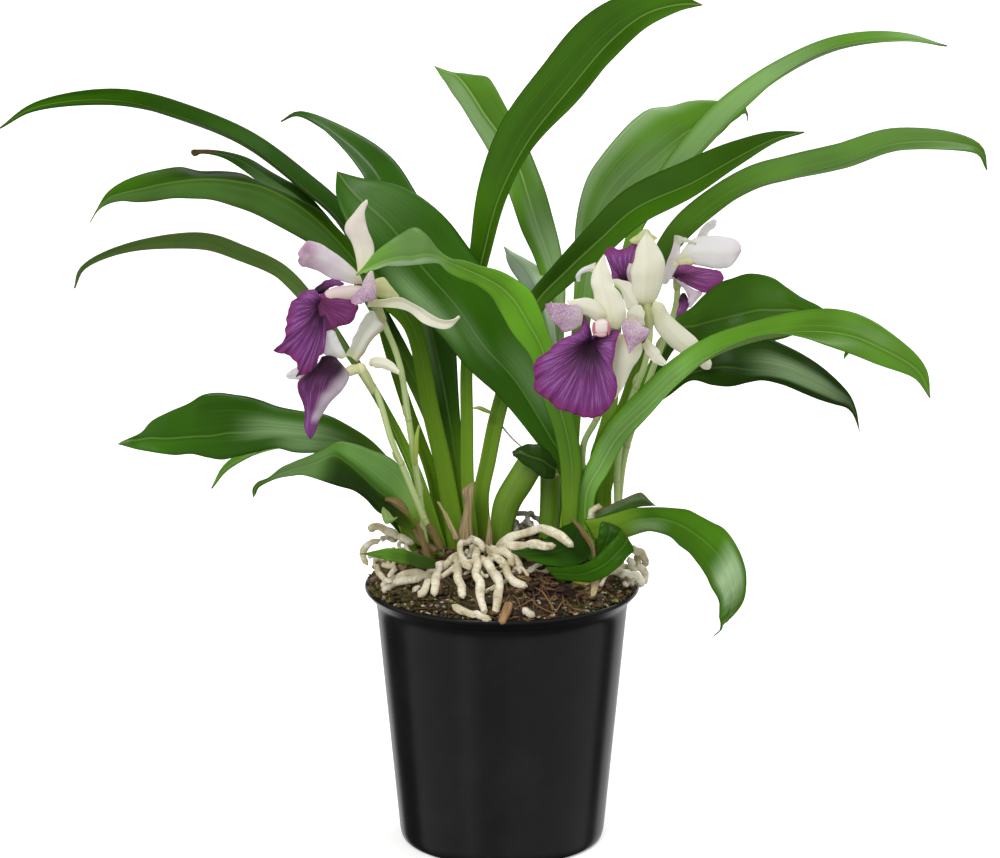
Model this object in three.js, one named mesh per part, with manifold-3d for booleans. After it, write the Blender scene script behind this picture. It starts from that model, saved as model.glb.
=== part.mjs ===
// A flowering orchid in a nursery pot, in millimetres.
// +Z is up, -Y is the front, +X is the viewer's right, and the origin is the centre of the pot's underside.
import * as THREE from "three";
import { mergeVertices } from "three/addons/utils/BufferGeometryUtils.js";
import Module from "manifold-3d";

const wasm = await Module();
wasm.setup();

// Pot
const POT_HEIGHT = 116;
const RIM_RADIUS = 60.2;
const WALL_FOOT_RADIUS = 45;
const WALL_SLOPE = 0.095;
const WALL_THICKNESS = 1.2;
const FLOOR_THICKNESS = 1.6;
const FOOT_ROUNDING = 3;
const RIM_FLARE_HEIGHT = 7;
const DRAIN_HOLES = 8;
const DRAIN_HOLE_RADIUS = 4;
const DRAIN_CIRCLE_RADIUS = 31;
const POT_SIDES = 40;

// Potting mix, heaped above the rim, and the woody crown that the growths spring from
const GAP = 0.4;
const HEAP_EDGE_HEIGHT = 115;
const HEAP_RISE = 16;
const HEAP_RADIUS = 58;
const HEAP_EXPONENT = 4;
const CROWN_CENTRE = [3, 0, 126];
const CROWN_RADII = [44, 24, 10];

// Leaves
const LEAF_THICKNESS = 0.9;
const PETIOLE_THICKNESS = 2;
const LEAF_STATIONS = 16;
const TIP_HALF_WIDTH = 0.4;

// Flowers and stalks
const PETAL_THICKNESS = 0.9;
const PETAL_STATIONS = 6;
const LIP_THICKNESS = 1;
const LIP_STATIONS = 8;
const TEPAL_FOLD = 8;
const LIP_FOLD = -12;
const STALK_SIDES = 8;
const ROOT_SIDES = 6;

// One entry for each leaf. The midrib runs from the crown to the tip, and width is the blade's widest place.
// The blade widens from the petiole between the fractions start and peak of the length. turn is the angle of
// the blade about its midrib, evenly spaced along it, from facing the front. fold lifts both halves. Angles
// are in degrees. stations is set where a blade twists too much for the usual number.
const LEAVES = {
  leaf_left_longest: {
    midrib: [[-26, 3, 134], [-31, 6, 162], [-42, 12, 192], [-51, 20, 219], [-60, 32, 249], [-72, 42, 270],
      [-89, 50, 284], [-114, 60, 301], [-141, 68, 311], [-173, 75, 318], [-209, 80, 314], [-226, 84, 304]],
    width: 28, petiole: 6, start: 0.2, peak: 0.64, turn: [20, 60, 85, 85, 60], fold: [50, 22, 15],
  },
  leaf_left_thin: {
    midrib: [[-21, 10, 135], [-26, 16, 168], [-38, 28, 200], [-54, 48, 239], [-76, 62, 265],
      [-97, 74, 276], [-115, 84, 285], [-126, 92, 290], [-140, 96, 292]],
    width: 22, petiole: 5, start: 0.2, peak: 0.62, turn: [20, 60, 85, 80, 65], fold: [50, 25, 20],
  },
  leaf_left_folded: {
    midrib: [[-20, -7, 135], [-28, -2, 169], [-33, 2, 193], [-43, 8, 218], [-59, 14, 246], [-75, 10, 263],
      [-94, 0, 276], [-114, -12, 287], [-136, -24, 292], [-151, -34, 292], [-165, -42, 292],
      [-172, -48, 285]],
    width: 40, petiole: 7, start: 0.3, peak: 0.77, turn: [10, 50, 100, 105, 65], fold: [45, 42, 40, 25],
  },
  leaf_left_drooping: {
    midrib: [[-27, -7, 133], [-39, -9, 170], [-53, -8, 199], [-65, -4, 218], [-80, 0, 237], [-96, 6, 252],
      [-114, 12, 259], [-132, 18, 264], [-162, 24, 261], [-184, 28, 251], [-188, 30, 242]],
    width: 24, petiole: 6, start: 0.25, peak: 0.6, turn: [10, 70, 120, 120, 120], fold: [50, 15, 10],
  },
  leaf_left_upper: {
    midrib: [[-17, 2, 136], [-20, 10, 167], [-24, 14, 192], [-30, 22, 220], [-38, 34, 252], [-48, 44, 273],
      [-57, 56, 290], [-74, 66, 304], [-91, 74, 312], [-99, 80, 308]],
    width: 30, petiole: 7, start: 0.12, peak: 0.59, turn: [0, 0, 30, 55, 90], fold: [45, 30, 20],
  },
  leaf_centre_broad: {
    midrib: [[28, -4, 136], [29, -6, 168], [20, -7, 185], [5, -9, 210], [-8, -11, 225], [-20, -12, 243],
      [-34, -11, 259], [-49, -8, 278], [-64, -4, 291], [-71, 2, 299]],
    width: 44, petiole: 9, start: 0.08, peak: 0.74, turn: [0, 10, 40, 35, 15], fold: [40, 22, 15],
  },
  leaf_centre_turned: {
    midrib: [[31, -21, 131], [30, -21, 173], [26, -24, 198], [15, -30, 227], [2, -38, 251], [-9, -46, 259],
      [-13, -54, 263], [-22, -62, 265], [-38, -72, 275], [-42, -80, 276], [-60, -84, 271]],
    width: 25, petiole: 8, start: 0.15, peak: 0.86, turn: [0, 0, 10, 50, 25, 100, 65, 55],
    fold: [40, 22, 25, 32, 30], stations: 34,
  },
  leaf_centre_tallest: {
    midrib: [[-13, -5, 136], [-15, 4, 162], [-15, 8, 188], [-15, 11, 209], [-13, 14, 235], [-7, 14, 263],
      [-1, 10, 286], [11, 4, 311], [30, -6, 337], [46, -18, 358], [60, -30, 371], [73, -38, 376],
      [83, -44, 377]],
    width: 37, petiole: 6, start: 0.27, peak: 0.75, turn: [0, -20, -50, -55, -45], fold: [45, 36, 36, 20],
  },
  leaf_back_narrow: {
    midrib: [[21, 18, 132], [22, 27, 161], [23, 31, 188], [24, 38, 217], [24, 46, 242], [17, 56, 259],
      [8, 70, 279], [-2, 82, 298], [-13, 96, 316], [-19, 106, 320], [-30, 112, 328]],
    width: 22, petiole: 6, start: 0.24, peak: 0.84, turn: [0, 0, 0, 40, 35], fold: [45, 25, 20],
  },
  leaf_right_rising: {
    midrib: [[-8, 2, 137], [-9, 1, 156], [-6, 2, 171], [-2, 4, 190], [5, 6, 214], [15, 4, 241],
      [26, 0, 254], [42, -8, 271], [57, -16, 286], [81, -26, 299], [99, -34, 311], [114, -41, 320],
      [126, -46, 324]],
    width: 22, petiole: 7, start: 0.3, peak: 0.8, turn: [0, -15, -10, -50, -75], fold: [45, 25, 20],
  },
  leaf_back_broad: {
    midrib: [[31, 16, 131], [31, 32, 168], [32, 40, 194], [36, 54, 223], [42, 70, 248], [51, 86, 270],
      [61, 100, 282], [76, 114, 293], [96, 124, 301], [113, 130, 305]],
    width: 43, petiole: 6, start: 0.29, peak: 0.74, turn: [0, 0, 20, 10, -20], fold: [45, 20, 15],
  },
  leaf_right_highest: {
    midrib: [[39, 10, 132], [42, 24, 166], [48, 30, 188], [50, 38, 215], [53, 46, 240], [60, 52, 263],
      [73, 58, 282], [89, 64, 299], [105, 70, 315], [125, 76, 330], [150, 82, 341], [180, 88, 344],
      [200, 94, 340]],
    width: 30, petiole: 6, start: 0.36, peak: 0.68, turn: [0, 0, -60, -75, -85, -75], fold: [45, 25, 15],
  },
  leaf_right_long: {
    midrib: [[45, 5, 130], [42, 16, 171], [54, 20, 191], [62, 25, 218], [66, 29, 242], [78, 33, 263],
      [95, 36, 277], [112, 39, 286], [129, 42, 290], [150, 45, 295], [175, 49, 303], [210, 53, 300],
      [215, 57, 290]],
    width: 33, petiole: 6, start: 0.3, peak: 0.65, turn: [0, 0, -60, -80, -80, -40], fold: [45, 25, 15],
  },
  leaf_right_shaded: {
    midrib: [[40, -1, 133], [49, 8, 169], [59, 10, 191], [69, 11, 213], [81, 12, 229], [93, 13, 233],
      [108, 14, 235], [134, 15, 227], [152, 15, 215]],
    width: 33, petiole: 5, start: 0.52, peak: 0.73, turn: [0, 0, -70, -40, -45], fold: [45, 15, 10],
  },
  leaf_right_arching: {
    midrib: [[37, -12, 132], [37, -16, 161], [43, -22, 175], [50, -28, 189], [63, -35, 204],
      [76, -43, 219], [92, -52, 232], [117, -60, 241], [143, -67, 242], [158, -72, 237], [173, -75, 228],
      [178, -76, 217]],
    width: 26, petiole: 8, start: 0, peak: 0.69, turn: [-10, -30, -55, -75, -95, -35, -20],
    fold: [45, 28, 15],
  },
  leaf_right_low: {
    midrib: [[45, -7, 129], [46, -6, 175], [59, -9, 198], [78, -12, 215], [97, -15, 215], [114, -18, 217],
      [132, -21, 210], [148, -24, 201], [153, -26, 191]],
    width: 32, petiole: 6, start: 0.33, peak: 0.78, turn: [0, -20, -40, -70, -80], fold: [45, 18, 10],
  },
  leaf_right_hanging: {
    midrib: [[44, -20, 131], [49, -32, 150], [64, -44, 156], [67, -56, 159], [70, -68, 159],
      [87, -78, 150], [94, -86, 137], [93, -92, 130], [88, -96, 121]],
    width: 26, petiole: 11, start: 0.37, peak: 0.63, turn: [-20, -10, -75, -50, -30], fold: [30, 20, 15],
  },
  leaf_cut_right_back: {
    midrib: [[50, -15, 142], [53, -20, 154], [65, -30, 162]],
    width: 11, petiole: 7, start: 0, peak: 0.5, tip: 0.6, turn: [-55, -75], fold: [30, 20],
  },
  leaf_cut_right_front: {
    midrib: [[21, -50, 136], [35, -52, 135], [44, -47, 140], [54, -40, 148]],
    width: 15, petiole: 11, start: 0, peak: 0.8, tip: 0.8, turn: [25, 25], fold: [15, 10],
  },
  leaf_short_front: {
    midrib: [[38, -32, 139], [29, -38, 144], [20, -44, 143], [9, -50, 139]],
    width: 19, petiole: 12, start: 0, peak: 0.45, turn: [40, 20], fold: [15, 10],
  },
  leaf_left_broad_low: {
    midrib: [[-33, -15, 132], [-42, -22, 171], [-54, -28, 182], [-64, -34, 189], [-79, -40, 192],
      [-102, -46, 195], [-118, -52, 197], [-125, -58, 198], [-145, -63, 196], [-161, -66, 195]],
    width: 35, petiole: 6, start: 0.28, peak: 0.75, turn: [0, 85, 55, 50, 70], fold: [45, 18, 12],
  },
  leaf_left_small: {
    midrib: [[-38, -8, 129], [-49, -10, 157], [-69, -14, 172], [-89, -18, 179], [-108, -22, 178],
      [-119, -26, 174], [-125, -28, 166]],
    width: 16, petiole: 5, start: 0.25, peak: 0.62, turn: [0, 60, 105, 60], fold: [45, 20, 10],
  },
  leaf_left_hooked: {
    midrib: [[-37, -18, 132], [-47, -32, 153], [-59, -41, 171], [-64, -50, 179], [-78, -58, 183],
      [-98, -61, 178], [-103, -66, 174]],
    width: 19, petiole: 8, start: 0.09, peak: 0.41, turn: [0, 45, 25, 95], fold: [45, 20, 10],
  },
  leaf_short_left: {
    midrib: [[-30, -35, 134], [-42, -43, 139], [-51, -48, 142], [-60, -54, 143]],
    width: 9, petiole: 6, start: 0, peak: 0.5, turn: [50, 40], fold: [15, 10],
  },
  leaf_cut_left: {
    midrib: [[-37, 0, 131], [-43, -5, 144], [-51, -11, 152]],
    width: 11, petiole: 7, start: 0, peak: 0.5, tip: 0.7, turn: [30, 50], fold: [20, 10],
  },
  leaf_back_silvery: {
    midrib: [[25, 9, 135], [25, 15, 163], [24, 18, 190], [21, 24, 216], [17, 32, 236], [10, 40, 248],
      [1, 48, 258]],
    width: 17, petiole: 5, start: 0.3, peak: 0.75, turn: [0, 10, 15], fold: [45, 25, 20],
  },
  leaf_cut_collar: {
    midrib: [[11, -21, 175], [17, -19, 177], [24, -16, 172]],
    width: 12, petiole: 8, start: 0, peak: 0.5, tip: 0.7, turn: [-30, -45], fold: [10, 10],
  },
  dry_sheath: {
    midrib: [[-14, -13, 137], [-15, -13, 150], [-13, -11, 161]],
    width: 5, petiole: 4, start: 0, peak: 0.5, turn: [0, 0], fold: [20, 10],
  },
};

// Growths whose leaves were cut off, as flattened stems: path, half width across and half depth
const CUT_GROWTHS = {
  cut_growth_centre: {
    path: [[-1, -8, 137], [2, -9, 154], [8, -10, 165], [13, -10, 173]],
    across: 5.3,
    deep: 3.4,
  },
  cut_growth_right: {
    path: [[20, 1, 136], [21, 2, 153], [21, 2, 165]],
    across: 4.2,
    deep: 2.6,
  },
};

// Flower stalks, from the crown to the flower's ovary
const FLOWER_STALK_RADIUS = 1.5;
const FLOWER_STALKS = {
  flower_stalk_left_upper:
    [[-32, -21, 131], [-36, -24, 165], [-40, -28, 196], [-44, -32, 223], [-50, -36, 240]],
  flower_stalk_left_lower:
    [[-27, -14, 136], [-34, -29, 154], [-41, -36, 174], [-47, -40, 190], [-53, -42, 211]],
  flower_stalk_right_front:
    [[31, -11, 134], [35, -11, 158], [35, -18, 182], [40, -32, 197], [45, -44, 212], [42, -56, 233]],
  flower_stalk_right_middle:
    [[52, -4, 126], [50, -15, 174], [55, -21, 202], [61, -25, 220], [63, -28, 234]],
  flower_stalk_right_back:
    [[50, 1, 127], [53, -1, 171], [61, 0, 199], [69, -4, 224], [75, -8, 243]],
};

// Flowers. heart is the centre where the parts meet. Each tepal is a path from the heart to its tip, with its
// width and the direction of its right-hand edge, and the lip is given in the same way.
const HEART_RADIUS = 3.6;
const FLOWERS = {
  left_upper: {
    heart: [-56, -41, 254],
    column: { path: [[-56, -41, 254], [-66, -45, 255], [-74, -48, 255]], radius: 2.4 },
    tepals: [
      { path: [[-57, -41, 256], [-62, -39, 272], [-61, -37, 283], [-57, -35, 291]], width: 12,
        side: [1, 0.2, 0] },
      { path: [[-58, -42, 256], [-69, -48, 266], [-77, -52, 270], [-85, -56, 269]], width: 13,
        side: [0.4, 0, 1] },
      { path: [[-56, -43, 255], [-55, -50, 252], [-57, -56, 249]], width: 11, side: [1, 0, 0.3] },
      { path: [[-54, -42, 252], [-45, -48, 249], [-34, -54, 243], [-25, -58, 241], [-17, -60, 246]], width: 8,
        side: [0.3, 0.9, 0.3] },
    ],
    lip: { path: [[-61, -49, 248], [-70, -52, 247], [-80, -56, 243], [-85, -58, 233], [-89, -58, 222],
      [-91, -57, 216]], width: 22, side: [0.7, 0.1, 0.7] },
  },
  left_lower: {
    heart: [-60, -42, 222],
    column: { path: [[-60, -42, 222], [-65, -46, 222], [-68, -48, 221]], radius: 2.2 },
    tepals: [
      { path: [[-59, -42, 224], [-57, -46, 233], [-52, -48, 243]], width: 11, side: [0.9, 0, -0.5] },
      { path: [[-61, -41, 224], [-70, -38, 232], [-76, -37, 237]], width: 8, side: [0.6, 0, 0.8] },
      { path: [[-58, -43, 222], [-51, -46, 222], [-43, -50, 218]], width: 6, side: [0, 0.9, 0.4] },
    ],
    lip: { path: [[-66, -46, 217], [-72, -49, 215], [-78, -52, 206], [-81, -52, 198], [-82, -52, 191]],
      width: 16, side: [0.9, 0.2, 0.3] },
  },
  right_front: {
    heart: [41, -62, 243],
    column: { path: [[41, -62, 243], [42, -69, 246], [42, -73, 244]], radius: 2.8 },
    tepals: [
      { path: [[43, -61, 246], [45, -62, 257], [46, -62, 266], [44, -60, 275]], width: 14, side: [1, 0, 0] },
      { path: [[39, -62, 245], [31, -66, 250], [19, -70, 252]], width: 11, side: [0.3, 0, 1] },
      { path: [[44, -62, 244], [53, -65, 243], [62, -68, 241]], width: 10, side: [0.2, 0, -1] },
      { path: [[43, -61, 242], [54, -56, 232], [47, -56, 215]], width: 8, side: [0.9, 0.4, 0] },
      { path: [[42, -61, 243], [58, -57, 240], [68, -56, 231]], width: 5, side: [0.3, 0, -0.9] },
    ],
    lip: { path: [[40, -68, 238], [38, -71, 232], [35, -76, 224], [32, -79, 215], [30, -78, 206]], width: 35,
      side: [1, 0, 0] },
  },
  right_middle: {
    heart: [61, -28, 250],
    column: { path: [[61, -28, 250], [59, -22, 253], [57, -18, 254]], radius: 2.2 },
    tepals: [
      { path: [[62, -28, 252], [64, -29, 262], [65, -30, 272], [63, -30, 284]], width: 15, side: [1, 0, 0] },
      { path: [[63, -28, 249], [71, -27, 241], [80, -24, 232], [89, -22, 220]], width: 10,
        side: [-0.6, 0, -0.8] },
      { path: [[60, -28, 250], [56, -30, 245], [53, -30, 240]], width: 8, side: [-0.7, 0, 0.7] },
      { path: [[59, -27, 252], [46, -24, 261], [38, -22, 268], [33, -24, 266]], width: 5,
        side: [0.6, 0, 0.7] },
    ],
    lip: { path: [[57, -23, 260], [54, -23, 265], [52, -24, 270], [50, -25, 274]], width: 14,
      side: [0.9, 0.2, 0.3] },
  },
  right_back: {
    heart: [75, -10, 261],
    column: { path: [[75, -10, 261], [79, -12, 263], [83, -14, 263]], radius: 2.2 },
    tepals: [
      { path: [[77, -10, 263], [89, -13, 270], [98, -16, 272], [105, -18, 273]], width: 14, side: [0, 0, 1] },
      { path: [[75, -9, 262], [84, -6, 274], [90, -4, 281], [95, -3, 285]], width: 6, side: [0.7, 0, -0.7] },
      { path: [[75, -10, 263], [75, -9, 270], [77, -9, 277]], width: 6, side: [0.9, 0.1, 0] },
    ],
    lip: { path: [[80, -14, 257], [85, -16, 254], [85, -15, 247], [82, -12, 238]], width: 12,
      side: [1, 0.2, 0.3] },
  },
};

// Thick aerial roots, each a list of branches with the radius of the root
const ROOT_RADIUS = 1.7;
const ROOTS = {
  root_left_forked: [
    [[-17, -14, 138], [-25, -19, 136], [-32, -29, 132], [-42, -25, 128], [-49, -17, 126], [-53, -22, 121]],
    [[-32, -29, 132], [-41, -31, 127], [-49, -28, 124], [-54, -25, 120]],
  ],
  root_left_short: [[[-20, -27, 136], [-25, -34, 134], [-29, -38, 130], [-30, -46, 124]]],
  root_front_left: [[[-17, -24, 137], [-16, -34, 135], [-15, -43, 130], [-15, -50, 124]]],
  root_front_long: [[[-11, -20, 138], [-11, -40, 134], [-8, -50, 128], [-7, -55, 122]]],
  root_front_right: [[[-6, -22, 137], [-4, -42, 133], [-2, -50, 127], [-1, -55, 121]]],
  root_right_bent: [[[-2, -19, 138], [0, -33, 135], [4, -42, 131], [11, -45, 128]]],
  root_right_short: [[[3, -22, 137], [7, -31, 135], [9, -38, 132]]],
  root_arch_high: [[[0, -17, 137], [8, -22, 145], [18, -27, 148], [26, -29, 144], [31, -30, 137]]],
  root_arch_low: [[[7, -20, 137], [14, -21, 140], [24, -23, 138]]],
  root_left_edge: [[[-60, -2, 137], [-57, -4, 142], [-51, -8, 142], [-46, -14, 140], [-41, -20, 138]]],
  root_right_edge: [[[48, -12, 131], [56, -11, 135], [62, -7, 131], [61, -7, 123]]],
  root_on_rim: [[[-21, -52, 121], [-14, -57, 120], [-5, -60, 119]]],
};

const MATERIALS = {
  pot: new THREE.MeshStandardMaterial({ color: 0x151517, roughness: 0.25, metalness: 0 }),
  mix: new THREE.MeshStandardMaterial({ color: 0x3b271a, roughness: 0.95, metalness: 0 }),
  crown: new THREE.MeshStandardMaterial({ color: 0x6f6a45, roughness: 0.9, metalness: 0 }),
  leaf: new THREE.MeshStandardMaterial({ color: 0x35701c, roughness: 0.4, metalness: 0 }),
  stem: new THREE.MeshStandardMaterial({ color: 0x5f8f33, roughness: 0.5, metalness: 0 }),
  stalk: new THREE.MeshStandardMaterial({ color: 0x9fae7c, roughness: 0.55, metalness: 0 }),
  petal: new THREE.MeshStandardMaterial({ color: 0xece6d2, roughness: 0.6, metalness: 0 }),
  lip: new THREE.MeshStandardMaterial({ color: 0x5a1a63, roughness: 0.55, metalness: 0 }),
  root: new THREE.MeshStandardMaterial({ color: 0xc9c2a8, roughness: 0.9, metalness: 0 }),
  sheath: new THREE.MeshStandardMaterial({ color: 0x8d7355, roughness: 0.85, metalness: 0 }),
};

const FRONT = new THREE.Vector3(0, -1, 0);
const vector = (p) => new THREE.Vector3(...p);
const smooth = (t) => t * t * (3 - 2 * t);
const clamp01 = (t) => Math.min(1, Math.max(0, t));

// The value at the fraction u along a list of evenly spaced values.
function along(values, u) {
  const place = u * (values.length - 1);
  const i = Math.min(values.length - 2, Math.floor(place));
  return THREE.MathUtils.lerp(values[i], values[i + 1], place - i);
}

// The right-hand edge's direction on a blade turned by some degrees about its midrib from facing the front.
function turnedSide(tangent, degrees) {
  const facing = tangent.clone().cross(FRONT).normalize();
  return facing.applyAxisAngle(tangent, THREE.MathUtils.degToRad(degrees));
}

function meshGeometry(points, triangles) {
  const geometry = new THREE.BufferGeometry();
  geometry.setAttribute("position", new THREE.Float32BufferAttribute(points.flat(), 3));
  geometry.setIndex(triangles);
  return geometry;
}

// A thin closed ribbon along a path, folded along its middle. half, thick and lift are functions of the
// fraction u of the length, and sideAt gives the direction of the right-hand edge from the tangent and u.
function ribbon({ path, sideAt, half, thick, lift }, stations) {
  const curve = new THREE.CatmullRomCurve3(path.map(vector), false, "centripetal");
  const points = [];
  for (let i = 0; i < stations; i++) {
    const u = i / (stations - 1);
    const centre = curve.getPointAt(u);
    const tangent = curve.getTangentAt(u);
    const right = sideAt(tangent, u);
    right.addScaledVector(tangent, -right.dot(tangent)).normalize();
    const up = right.clone().cross(tangent);
    const fold = THREE.MathUtils.degToRad(lift(u));
    for (const face of [1, -1])
      for (const across of [-1, 0, 1]) {
        const point = centre.clone();
        point.addScaledVector(right, across * half(u) * Math.cos(fold));
        point.addScaledVector(up, Math.abs(across) * half(u) * Math.sin(fold) + (face * thick(u)) / 2);
        points.push(point.toArray());
      }
  }
  // The six points of a station in order round its section
  const ring = [0, 1, 2, 5, 4, 3];
  const triangles = [];
  for (let i = 0; i < stations - 1; i++)
    for (let k = 0; k < 6; k++) {
      const here = 6 * i + ring[k];
      const beside = 6 * i + ring[(k + 1) % 6];
      triangles.push(here, beside, beside + 6, here, beside + 6, here + 6);
    }
  const last = 6 * (stations - 1);
  for (const j of [0, 1]) {
    triangles.push(j, j + 3, j + 4, j, j + 4, j + 1);
    triangles.push(last + j, last + j + 1, last + j + 4, last + j, last + j + 4, last + j + 3);
  }
  return meshGeometry(points, triangles);
}

function leafGeometry(leaf) {
  const blunt = leaf.tip || 0;
  const half = (u) => {
    const widening = smooth(clamp01((u - leaf.start) / (leaf.peak - leaf.start)));
    const narrowing = clamp01((u - leaf.peak) / (1 - leaf.peak));
    const wide = THREE.MathUtils.lerp(leaf.petiole, leaf.width, widening) / 2;
    return Math.max(TIP_HALF_WIDTH, wide * (1 - (1 - blunt) * narrowing ** 1.9));
  };
  const thick = (u) => THREE.MathUtils.lerp(PETIOLE_THICKNESS, LEAF_THICKNESS, clamp01(u / leaf.peak));
  const sideAt = (tangent, u) => turnedSide(tangent, along(leaf.turn, u));
  const lift = (u) => along(leaf.fold, u);
  return ribbon({ path: leaf.midrib, sideAt, half, thick, lift }, leaf.stations || LEAF_STATIONS);
}

// A petal or sepal: narrow at the heart, widest past the middle, with a short pointed tip.
function tepalGeometry(tepal) {
  const half = (u) => {
    const bulge = Math.sin(Math.PI * (0.13 + 0.87 * u)) ** 0.7;
    return Math.max(TIP_HALF_WIDTH, (tepal.width / 2) * bulge);
  };
  const sideAt = () => vector(tepal.side);
  const thick = () => PETAL_THICKNESS;
  return ribbon({ path: tepal.path, sideAt, half, thick, lift: () => TEPAL_FOLD }, PETAL_STATIONS);
}

// The lip: a broad shield with a blunt, slightly narrowed end.
function lipGeometry(lip) {
  const half = (u) => (lip.width / 2) * Math.max(0.28, Math.sin(Math.PI * (0.1 + 0.8 * u)) ** 0.6);
  const sideAt = () => vector(lip.side);
  const thick = () => LIP_THICKNESS;
  return ribbon({ path: lip.path, sideAt, half, thick, lift: () => LIP_FOLD }, LIP_STATIONS);
}

// A solid tube along a path, with an elliptic section.
function tubeGeometry(path, across, deep, sides) {
  const curve = new THREE.CatmullRomCurve3(path.map(vector), false, "centripetal");
  const ellipse = new THREE.EllipseCurve(0, 0, deep, across, 0, 2 * Math.PI);
  const section = new THREE.Shape(ellipse.getPoints(sides).slice(1));
  const steps = 2 * (path.length - 1);
  return new THREE.ExtrudeGeometry(section, { steps, bevelEnabled: false, extrudePath: curve });
}

function solidOf(geometry) {
  const bare = geometry.clone();
  bare.deleteAttribute("normal");
  bare.deleteAttribute("uv");
  const merged = mergeVertices(bare, 1e-3);
  const vertProperties = merged.attributes.position.array;
  const triVerts = new Uint32Array(merged.index.array);
  return new wasm.Manifold(new wasm.Mesh({ numProp: 3, vertProperties, triVerts }));
}

function geometryOf(solid) {
  const { vertProperties, numProp, triVerts } = solid.getMesh();
  const points = [];
  for (let i = 0; i < vertProperties.length; i += numProp)
    points.push([...vertProperties.slice(i, i + 3)]);
  return meshGeometry(points, [...triVerts]);
}

function joined(geometries) {
  const solids = geometries.map(solidOf);
  return geometryOf(solids.reduce((whole, piece) => whole.add(piece)));
}

const wallRadius = (z) => WALL_FOOT_RADIUS + WALL_SLOPE * z;

// The pot's wall leans out, and its last stretch flares to a thin round rim.
function potGeometry() {
  const flareStart = POT_HEIGHT - RIM_FLARE_HEIGHT;
  const foot = wallRadius(0);
  const inner = (z) => wallRadius(z) - WALL_THICKNESS;
  const profile = [
    [0, 0],
    [foot - FOOT_ROUNDING, 0],
    [foot - FOOT_ROUNDING * 0.3, FOOT_ROUNDING * 0.3],
    [wallRadius(FOOT_ROUNDING), FOOT_ROUNDING],
    [wallRadius(flareStart), flareStart],
    [RIM_RADIUS - 1.4, POT_HEIGHT - 2.4],
    [RIM_RADIUS, POT_HEIGHT - 0.9],
    [RIM_RADIUS - 0.5, POT_HEIGHT],
    [RIM_RADIUS - 1.5, POT_HEIGHT - 0.4],
    [RIM_RADIUS - 3, POT_HEIGHT - 2.6],
    [inner(flareStart), flareStart],
    [inner(FLOOR_THICKNESS + 1), FLOOR_THICKNESS + 1],
    [inner(FLOOR_THICKNESS) - 1, FLOOR_THICKNESS],
    [0, FLOOR_THICKNESS],
  ].map(([r, z]) => new THREE.Vector2(r, z));
  const hole = new THREE.CylinderGeometry(DRAIN_HOLE_RADIUS, DRAIN_HOLE_RADIUS, 4 * FLOOR_THICKNESS, 12);
  hole.rotateX(Math.PI / 2);
  let pot = solidOf(new THREE.LatheGeometry(profile, POT_SIDES).rotateX(Math.PI / 2));
  for (let i = 0; i < DRAIN_HOLES; i++) {
    const angle = (2 * Math.PI * i) / DRAIN_HOLES;
    const x = DRAIN_CIRCLE_RADIUS * Math.cos(angle);
    const y = DRAIN_CIRCLE_RADIUS * Math.sin(angle);
    pot = pot.subtract(solidOf(hole.clone().translate(x, y, 0)));
  }
  return geometryOf(pot);
}

const heapHeight = (r) => HEAP_EDGE_HEIGHT + HEAP_RISE * (1 - (r / HEAP_RADIUS) ** HEAP_EXPONENT);

// The mix fills the pot up to the flare and is heaped above the rim. grown adds a margin all round.
function mixGeometry(grown = 0) {
  const inside = (z) => wallRadius(z) - WALL_THICKNESS - GAP + grown;
  const flareStart = POT_HEIGHT - RIM_FLARE_HEIGHT;
  const heap = [1, 0.97, 0.92, 0.85, 0.75, 0.6, 0.4, 0.2, 0].map((part) => {
    const r = part * (RIM_RADIUS - 5.6);
    return [r, heapHeight(r) + grown];
  });
  const profile = [
    [0, FLOOR_THICKNESS + GAP - grown],
    [inside(0) - 2, FLOOR_THICKNESS + GAP - grown],
    [inside(5), 5],
    [inside(flareStart), flareStart],
    ...heap,
  ].map(([r, z]) => new THREE.Vector2(r, z));
  return new THREE.LatheGeometry(profile, POT_SIDES / 2).rotateX(Math.PI / 2);
}

function crownGeometry() {
  const lump = new THREE.SphereGeometry(1, 18, 10).rotateX(Math.PI / 2);
  lump.scale(...CROWN_RADII).translate(...CROWN_CENTRE);
  return geometryOf(solidOf(lump).subtract(solidOf(mixGeometry(GAP))));
}

function flowerGeometry(flower) {
  const heart = new THREE.SphereGeometry(HEART_RADIUS, 10, 8).translate(...flower.heart);
  const column = tubeGeometry(flower.column.path, flower.column.radius, flower.column.radius, STALK_SIDES);
  return joined([heart, column, ...flower.tepals.map(tepalGeometry)]);
}

const orchid = new THREE.Group();

function addPiece(name, geometry, material) {
  const piece = new THREE.Mesh(geometry, MATERIALS[material].clone());
  piece.name = name;
  orchid.add(piece);
}

addPiece("pot", potGeometry(), "pot");
addPiece("potting_mix", mixGeometry(), "mix");
addPiece("crown", crownGeometry(), "crown");
for (const [name, leaf] of Object.entries(LEAVES))
  addPiece(name, leafGeometry(leaf), name === "dry_sheath" ? "sheath" : "leaf");
for (const [name, { path, across, deep }] of Object.entries(CUT_GROWTHS))
  addPiece(name, tubeGeometry(path, across, deep, 12), "stem");
for (const [name, path] of Object.entries(FLOWER_STALKS))
  addPiece(name, tubeGeometry(path, FLOWER_STALK_RADIUS, FLOWER_STALK_RADIUS, STALK_SIDES), "stalk");
for (const [name, flower] of Object.entries(FLOWERS)) {
  addPiece(`flower_${name}`, flowerGeometry(flower), "petal");
  addPiece(`lip_${name}`, lipGeometry(flower.lip), "lip");
}
for (const [name, branches] of Object.entries(ROOTS)) {
  const tubes = branches.map((path) => tubeGeometry(path, ROOT_RADIUS, ROOT_RADIUS, ROOT_SIDES));
  addPiece(name, joined(tubes), "root");
}

export default orchid;
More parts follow.
